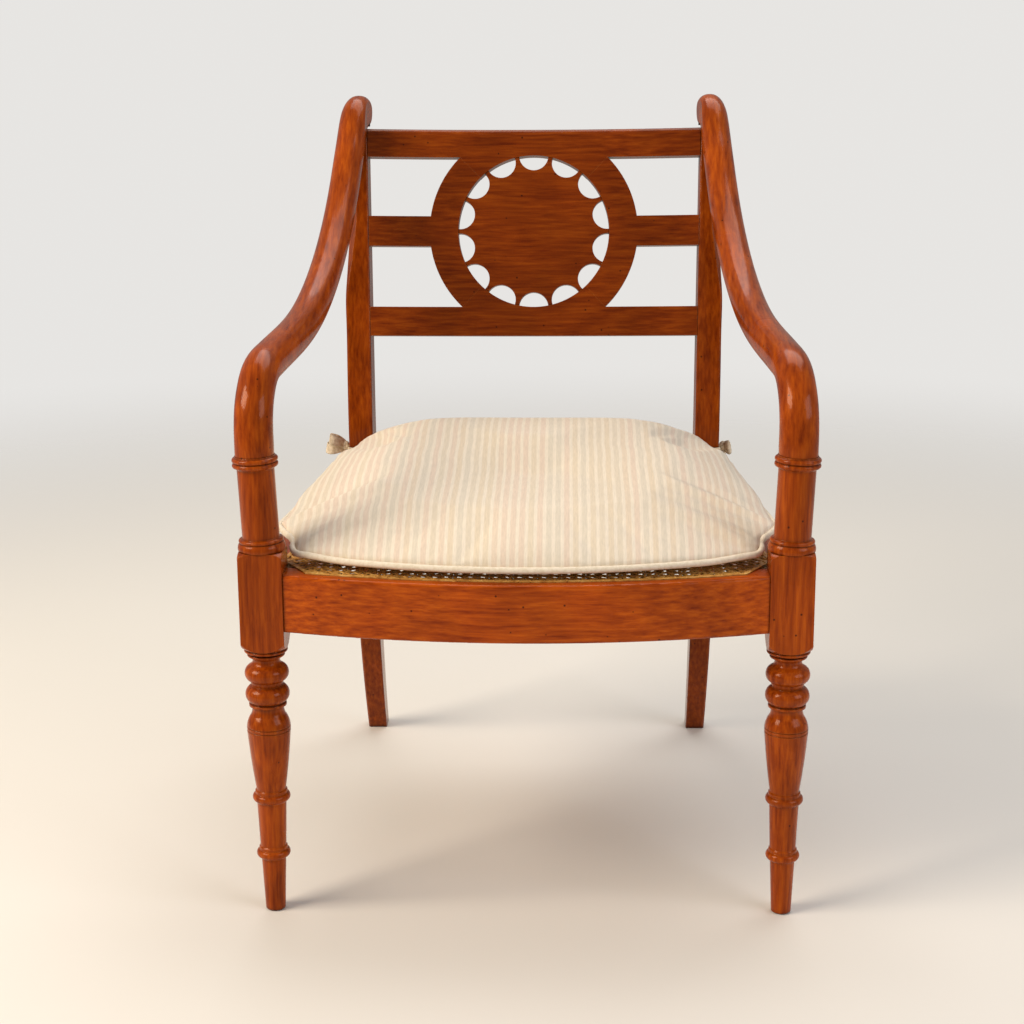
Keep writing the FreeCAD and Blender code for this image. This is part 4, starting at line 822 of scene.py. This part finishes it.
def striped_cotton():
    """Woven cotton ticking: matt, with cream and tan stripes 9 mm apart and fine darker lines.

    The real threads are about 0.4 mm apart. They are drawn at twice that, so that they show.
    """
    made, tree = new_material("cotton_woven_stripe")
    laid = add(
        tree, "ShaderNodeAttribute", attribute_type="GEOMETRY", attribute_name="cloth"
    ).outputs["Vector"]
    parts = add(tree, "ShaderNodeSeparateXYZ", {"Vector": laid})
    drift = add(
        tree, "ShaderNodeTexNoise", {"Vector": laid, "Scale": 14.0, "Detail": 1.0}
    ).outputs["Fac"]
    across = add(
        tree,
        "ShaderNodeMath",
        {0: drift, 1: 0.0014, 2: parts.outputs["X"]},
        operation="MULTIPLY_ADD",
    ).outputs["Value"]
    counted = add(
        tree, "ShaderNodeMath", {0: across, 1: 1 / STRIPE_PITCH}, operation="MULTIPLY"
    ).outputs["Value"]
    within = add(tree, "ShaderNodeMath", {0: counted}, operation="FRACT").outputs["Value"]
    stripe = add(tree, "ShaderNodeMath", {0: counted}, operation="FLOOR").outputs["Value"]
    tint = add(
        tree, "ShaderNodeTexWhiteNoise", {"W": stripe}, noise_dimensions="1D"
    ).outputs["Value"]
    body = ramp(tree, tint, [(0.2, COTTON_ROSE), (0.5, COTTON_TAN), (0.8, COTTON_GREY)])
    bands = add(tree, "ShaderNodeValToRGB", {"Fac": within})
    stops = [(0.0, 1), (0.30, 1), (0.36, 0.35), (0.42, 0), (0.90, 0), (0.95, 0.25), (1.0, 1)]
    while len(bands.color_ramp.elements) < len(stops):
        bands.color_ramp.elements.new(0.5)
    for element, (place, value) in zip(bands.color_ramp.elements, stops):
        element.position = place
        element.color = (value, value, value, 1.0)
    striped = add(
        tree,
        "ShaderNodeMix",
        {"Factor": bands.outputs["Color"], 6: body, 7: linear(COTTON_CREAM)},
        data_type="RGBA",
    ).outputs[2]
    cords = add(
        tree, "ShaderNodeMath", {0: within, 1: 6.0}, operation="MULTIPLY"
    ).outputs["Value"]
    cord = add(tree, "ShaderNodeMath", {0: cords, 1: 0.5}, operation="PINGPONG").outputs["Value"]
    edging = add(
        tree,
        "ShaderNodeMapRange",
        {"Value": cord, "From Min": 0.16, "From Max": 0.0, "To Max": 0.28},
    ).outputs["Result"]
    lined = add(
        tree,
        "ShaderNodeMix",
        {"Factor": edging, 6: striped, 7: linear(COTTON_LINE)},
        data_type="RGBA",
    ).outputs[2]
    slub = add(
        tree, "ShaderNodeMapping", {"Vector": laid, "Scale": (1.0, 0.08, 0.3)}
    ).outputs["Vector"]
    uneven = add(
        tree, "ShaderNodeTexNoise", {"Vector": slub, "Scale": 700.0, "Detail": 2.0}
    ).outputs["Fac"]
    value = add(
        tree,
        "ShaderNodeMapRange",
        {"Value": uneven, "From Min": 0.3, "From Max": 0.7, "To Min": 0.94, "To Max": 1.05},
    ).outputs["Result"]
    toned = add(
        tree, "ShaderNodeHueSaturation", {"Color": lined, "Value": value}
    ).outputs["Color"]
    threads = []
    for place in (across, parts.outputs["Y"]):
        turned = add(
            tree, "ShaderNodeMath", {0: place, 1: math.tau / THREAD}, operation="MULTIPLY"
        ).outputs["Value"]
        threads.append(
            add(tree, "ShaderNodeMath", {0: turned}, operation="SINE").outputs["Value"]
        )
    woven = add(
        tree, "ShaderNodeMath", {0: threads[0], 1: threads[1]}, operation="MULTIPLY"
    ).outputs["Value"]
    height = add(
        tree, "ShaderNodeMath", {0: uneven, 1: 2.0, 2: woven}, operation="MULTIPLY_ADD"
    ).outputs["Value"]
    surface = add(
        tree, "ShaderNodeBump", {"Height": height, "Strength": 0.3, "Distance": 0.0003}
    ).outputs["Normal"]
    shader = add(
        tree,
        "ShaderNodeBsdfPrincipled",
        {
            "Base Color": toned,
            "Roughness": 0.88,
            "IOR": 1.45,
            "Normal": surface,
            "Sheen Weight": 0.12,
            "Sheen Roughness": 0.5,
        },
    )
    add(tree, "ShaderNodeOutputMaterial", {"Surface": shader.outputs["BSDF"]})
    return made


seam_line = cushion_edge()
ticking = striped_cotton()
cushion = finished(cushion_blank(seam_line), "cushion_striped", ticking)
remesh = cushion.modifiers.new("even", "REMESH")
remesh.mode = "VOXEL"
remesh.voxel_size = CUSHION_VOXEL
baked(cushion)
swollen(cushion, seam_line)
smoother = cushion.modifiers.new("smoother", "SUBSURF")
smoother.levels = 1
baked(cushion)
for face in cushion.data.polygons:
    face.use_smooth = True
if not cushion.data.materials:
    cushion.data.materials.append(ticking)
lay_stripes(cushion)
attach(cushion, "seat_cushion")
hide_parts("cushion_cover", "cushion_core")


# Piping: a cord in a strip of cream cotton cut on the bias.
# It is sewn into the cushion's seam all round, and puckers a little where the strip is eased.

PIPING_RADIUS = 0.0035
PIPING_GAP = 0.0002
PIPING_SIDES = 14
PIPING_CREAM = "#e3d6c0"
PIPING_SHADE = "#d8cab0"
COTTON_PATCHES_PER_METRE = 260.0


def plain_cotton(name, pale, dark):
    """Plain-woven cotton: matt and slightly uneven, with its threads just showing."""
    made, tree = new_material(name)
    place = add(tree, "ShaderNodeTexCoord").outputs["Object"]
    patch = add(
        tree,
        "ShaderNodeTexNoise",
        {"Vector": place, "Scale": COTTON_PATCHES_PER_METRE, "Detail": 3.0},
    ).outputs["Fac"]
    colour = ramp(tree, patch, [(0.35, dark), (0.6, pale)])
    thread = add(
        tree, "ShaderNodeTexNoise", {"Vector": place, "Scale": 1 / THREAD, "Detail": 1.0}
    ).outputs["Fac"]
    surface = add(
        tree, "ShaderNodeBump", {"Height": thread, "Strength": 0.35, "Distance": 0.0004}
    ).outputs["Normal"]
    shader = add(
        tree,
        "ShaderNodeBsdfPrincipled",
        {
            "Base Color": colour,
            "Roughness": 0.9,
            "IOR": 1.45,
            "Normal": surface,
            "Sheen Weight": 0.12,
            "Sheen Roughness": 0.5,
        },
    )
    add(tree, "ShaderNodeOutputMaterial", {"Surface": shader.outputs["BSDF"]})
    return made


def piping(edge):
    """A closed tube outside the seam, its skin slightly uneven where the bias strip puckers."""
    count = len(edge)
    mesh = bmesh.new()
    rings = []
    for number, point in enumerate(edge):
        outward = outward_at(edge, number)
        centre = point + outward * (PIPING_RADIUS + PIPING_GAP)
        seam = between(SEAM_HEIGHTS, point.y)
        ring = []
        for at in range(PIPING_SIDES):
            angle = math.tau * at / PIPING_SIDES
            swirl = number * 0.9 + at * math.tau / PIPING_SIDES
            spot = Vector((number * 0.45, math.cos(angle) * 1.4, math.sin(angle) * 1.4))
            pucker = noise.noise(spot)
            radius = PIPING_RADIUS * (1 + 0.045 * pucker + 0.012 * math.sin(swirl))
            flat = centre + outward * math.cos(angle) * radius
            ring.append(mesh.verts.new((flat.x, flat.y, seam + math.sin(angle) * radius)))
        rings.append(ring)
    for number in range(count):
        one, two = rings[number], rings[(number + 1) % count]
        for at in range(PIPING_SIDES):
            following = (at + 1) % PIPING_SIDES
            mesh.faces.new((one[at], one[following], two[following], two[at]))
    return mesh


cream = plain_cotton("cotton_bias_piping", PIPING_CREAM, PIPING_SHADE)
welt = finished(piping(cushion_edge(0.0025)), "cushion_piping", cream)
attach(welt, "seat_cushion")
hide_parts("cushion_welt")


# Ties: a ribbon of the same cloth from each back corner, round the post and into a bow.
# Doubled and sewn cotton, limp enough to sag, so the loops stand open only a little.

TIE_WIDTH = 0.0165
TIE_THICKNESS = 0.0011
TIE_LEVEL = 0.4085
TIE_GAP = 0.0012
TIE_CORNER = 0.003
TIE_CREAM = "#dccbb0"
TIE_SHADE = "#b7a283"
POST_INNER = 0.2026
POST_OUTER = 0.2339
POST_FRONT = 0.1866
POST_REAR = 0.2334


def ribbon(mesh, points, widths):
    """A flat strip of cloth along points; each width says which way and how far it spreads."""
    rows = []
    for number, (point, width) in enumerate(zip(points, widths)):
        before = points[max(number - 1, 0)]
        after = points[min(number + 1, len(points) - 1)]
        out = (after - before).cross(width).normalized() * (TIE_THICKNESS / 2)
        curl = out * 1.2
        half = width / 2
        corners = [point - half - out, point - curl, point + half - out]
        corners += [point + half + out, point + out * 0.2, point - half + out]
        rows.append([mesh.verts.new(corner) for corner in corners])
    for one, two in zip(rows, rows[1:]):
        for number in range(6):
            following = (number + 1) % 6
            mesh.faces.new((one[number], one[following], two[following], two[number]))
    mesh.faces.new(rows[0][::-1])
    mesh.faces.new(rows[-1])


def smooth_path(points, parts):
    """Points along a smooth curve through the given ones."""
    found = []
    last = len(points) - 1
    for number in range(last):
        p0 = points[max(number - 1, 0)]
        p1, p2 = points[number], points[number + 1]
        p3 = points[min(number + 2, last)]
        for at in range(parts):
            t = at / parts
            found.append(
                0.5
                * (
                    2 * p1
                    + (p2 - p0) * t
                    + (2 * p0 - 5 * p1 + 4 * p2 - p3) * t * t
                    + (3 * p1 - p0 - 3 * p2 + p3) * t ** 3
                )
            )
    found.append(points[-1])
    return found


def tie(side):
    """One tie, from the cushion's corner round the post to its bow on the outer side."""
    mesh = bmesh.new()
    low, high = POST_INNER - TIE_GAP, POST_OUTER + TIE_GAP
    near, rear = POST_FRONT - TIE_GAP, POST_REAR + TIE_GAP
    soft = TIE_CORNER
    ring = [
        (high, near + soft), (high - soft, near), (low + soft, near), (low, near + soft),
        (low, rear - soft), (low + soft, rear), (high - soft, rear), (high, rear - soft),
        (high, near + soft),
    ]
    path = []
    for number, (x, y) in enumerate(ring):
        path.append(Vector((x * side, y, TIE_LEVEL + 0.0008 * math.sin(3 * number))))
    path = smooth_path(path, 3)
    widths = [Vector((0, 0, TIE_WIDTH * (0.94 + 0.08 * math.sin(n)))) for n in range(len(path))]
    ribbon(mesh, path, widths)
    heart = Vector((high + 0.0055, 0.212, TIE_LEVEL + 0.004))
    # Two folded loops and two loose ends from the knot. The right bow is drawn up tighter.
    reach, rise = (1.0, 1.0) if side < 0 else (0.4, 0.3)
    loops = [
        [(0, 0, 0.004), (0.008, -0.005, 0.010), (0.017, -0.011, 0.013), (0.019, -0.013, 0.012),
         (0.013, -0.013, 0.009), (0.005, -0.006, 0.005), (0, 0, 0.002)],
        [(0, 0, 0), (0.010, 0.002, 0.002), (0.021, -0.002, 0.001), (0.024, -0.006, -0.001),
         (0.017, -0.010, -0.003), (0.007, -0.006, -0.003), (0, 0, -0.001)],
        [(0, 0, 0), (0.005, -0.002, -0.008), (0.007, -0.003, -0.018), (0.006, -0.004, -0.028)],
        [(0, 0, 0), (0.004, 0.004, -0.008), (0.007, 0.006, -0.016), (0.008, 0.009, -0.026)],
    ]
    loops = [[(x * reach, y, z * (rise if z > 0 else 1)) for x, y, z in loop] for loop in loops]
    for number, loop in enumerate(loops):
        points = [Vector(((heart.x + x) * side, heart.y + y, heart.z + z)) for x, y, z in loop]
        points = smooth_path(points, 5)
        spread = Vector((-0.12 * side, 0.3, 0.8)).normalized()
        if number > 1:
            spread = Vector((0.35 * side, 0.9, 0.2)).normalized()
        last = len(points) - 1
        widths = []
        for at in range(len(points)):
            middle = math.sin(math.pi * at / last) if number < 2 else at / last
            widths.append(spread * TIE_WIDTH * (0.4 + 0.4 * middle))
        ribbon(mesh, points, widths)
    name = "cushion_tie_bow_left" if side < 0 else "cushion_tie_bow_right"
    made = finished(mesh, name, tie_cloth)
    knot = bmesh.new()
    bmesh.ops.create_icosphere(knot, subdivisions=3, radius=1.0)
    for vertex in knot.verts:
        lump = 1 + 0.12 * noise.noise(vertex.co * 2.3)
        fold = 1 - 0.18 * max(0.0, math.cos(vertex.co.x * 5.0)) * abs(vertex.co.y)
        size = Vector((0.0052, 0.0058, 0.0068))
        place = Vector([vertex.co[axis] * size[axis] * lump * fold for axis in range(3)])
        vertex.co = Vector((heart.x * side, heart.y, heart.z)) + place
    wrap = finished(knot, name + "_knot", tie_cloth)
    return made, wrap


tie_cloth = plain_cotton("cotton_tie", TIE_CREAM, TIE_SHADE)
for side, word in ((-1, "left"), (1, "right")):
    for piece in tie(side):
        soft = piece.modifiers.new("soft", "SUBSURF")
        soft.levels = 1
        soft.render_levels = 1
        baked(piece)
        for face in piece.data.polygons:
            face.use_smooth = True
        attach(piece, "chair_frame")
        if "knot" not in piece.name:
            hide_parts(f"cushion_tie_{word}")


# The photograph's view: a long lens a little above the arms, looking down at the seat.
# Its place and angles were solved from the chair's level and upright lines and its symmetry.

CAMERA_LENS = 68.38
CAMERA_FILM = 36.0
CAMERA_PLACE = (0.0448, -2.2149, 0.946)
CAMERA_TILT = 14.34
CAMERA_TURN = 1.73
CAMERA_ROLL = -0.36

camera_data = bpy.data.cameras.new("camera")
camera_data.lens = CAMERA_LENS
camera_data.sensor_width = CAMERA_FILM
camera = bpy.data.objects.new("camera", camera_data)
scene.collection.objects.link(camera)
camera.location = CAMERA_PLACE
tilt = math.radians(CAMERA_TILT)
camera.rotation_euler = (math.radians(90) - tilt, 0.0, math.radians(CAMERA_TURN))
camera.rotation_euler.rotate_axis("Z", math.radians(CAMERA_ROLL))
scene.camera = camera


# Floor, lamps and a pale surrounding.
# A plain matt floor that takes the chair's shadow, a broad warm window light from the left, a
# weak cool one from the right and a soft one from above and behind.

FLOOR_PALE = "#e6e1d8"
FLOOR_FADE = (1.0, 3.2)
FLOOR_HALF = 6.0
FLOOR_DROP = 0.0002
AIR_PALE = "#f7f5f2"
AIR_ON_CHAIR = 0.32
AIR_SEEN = 0.86
SEAT_AIM = (0.0, 0.0, 0.45)
LAMPS = [
    ("window", (-2.4, -1.2, 2.1), SEAT_AIM, (1.6, 1.4), 92.0, "#fff1de"),
    ("fill", (2.3, -1.6, 1.6), SEAT_AIM, (1.8, 1.4), 30.0, "#f4f4ff"),
    ("ceiling", (0.3, 0.9, 2.7), (0.0, 0.0, 0.5), (2.4, 1.6), 36.0, "#ffffff"),
]


def pale_floor():
    """A plain floor that fades into the pale air well away from the chair, so no horizon shows."""
    made, tree = new_material("floor_pale_plain")
    place = add(tree, "ShaderNodeTexCoord").outputs["Object"]
    away = add(tree, "ShaderNodeVectorMath", {0: place}, operation="LENGTH").outputs["Value"]
    fade = add(
        tree,
        "ShaderNodeMapRange",
        {"Value": away, "From Min": FLOOR_FADE[0], "From Max": FLOOR_FADE[1]},
        interpolation_type="SMOOTHSTEP",
    ).outputs["Result"]
    shader = add(
        tree,
        "ShaderNodeBsdfPrincipled",
        {"Base Color": linear(FLOOR_PALE), "Roughness": 0.85, "Specular IOR Level": 0.1},
    )
    clear = add(tree, "ShaderNodeBsdfTransparent")
    mixed = add(
        tree, "ShaderNodeMixShader", {0: fade, 1: shader.outputs["BSDF"], 2: clear.outputs["BSDF"]}
    )
    add(tree, "ShaderNodeOutputMaterial", {"Surface": mixed.outputs["Shader"]})
    return made


floor_mesh = bmesh.new()
bmesh.ops.create_grid(floor_mesh, x_segments=4, y_segments=4, size=FLOOR_HALF)
floor = finished(floor_mesh, "floor", pale_floor(), smooth=False)
floor.location.z = -FLOOR_DROP


def lamp(name, place, aim, size, power, colour):
    """A broad rectangular lamp at a place, turned towards its aim."""
    data = bpy.data.lights.new(name, "AREA")
    data.shape = "RECTANGLE"
    data.size = size[0]
    data.size_y = size[1]
    data.energy = power
    data.color = linear(colour)[:3]
    made = bpy.data.objects.new(name, data)
    scene.collection.objects.link(made)
    made.location = place
    made.rotation_euler = (Vector(aim) - Vector(place)).to_track_quat("-Z", "Y").to_euler()


for row in LAMPS:
    lamp(*row)

world = bpy.data.worlds.new("surrounding")
scene.world = world
world.use_nodes = True
world.node_tree.nodes.clear()
seen = add(world.node_tree, "ShaderNodeLightPath")
plain = add(
    world.node_tree,
    "ShaderNodeMath",
    {0: seen.outputs["Is Camera Ray"], 1: seen.outputs["Is Transmission Ray"]},
    operation="MAXIMUM",
).outputs["Value"]
strength = add(
    world.node_tree,
    "ShaderNodeMapRange",
    {"Value": plain, "To Min": AIR_ON_CHAIR, "To Max": AIR_SEEN},
).outputs["Result"]
air = add(
    world.node_tree, "ShaderNodeBackground", {"Color": linear(AIR_PALE), "Strength": strength}
)
add(world.node_tree, "ShaderNodeOutputWorld", {"Surface": air.outputs["Background"]})

scene.view_settings.view_transform = "Standard"
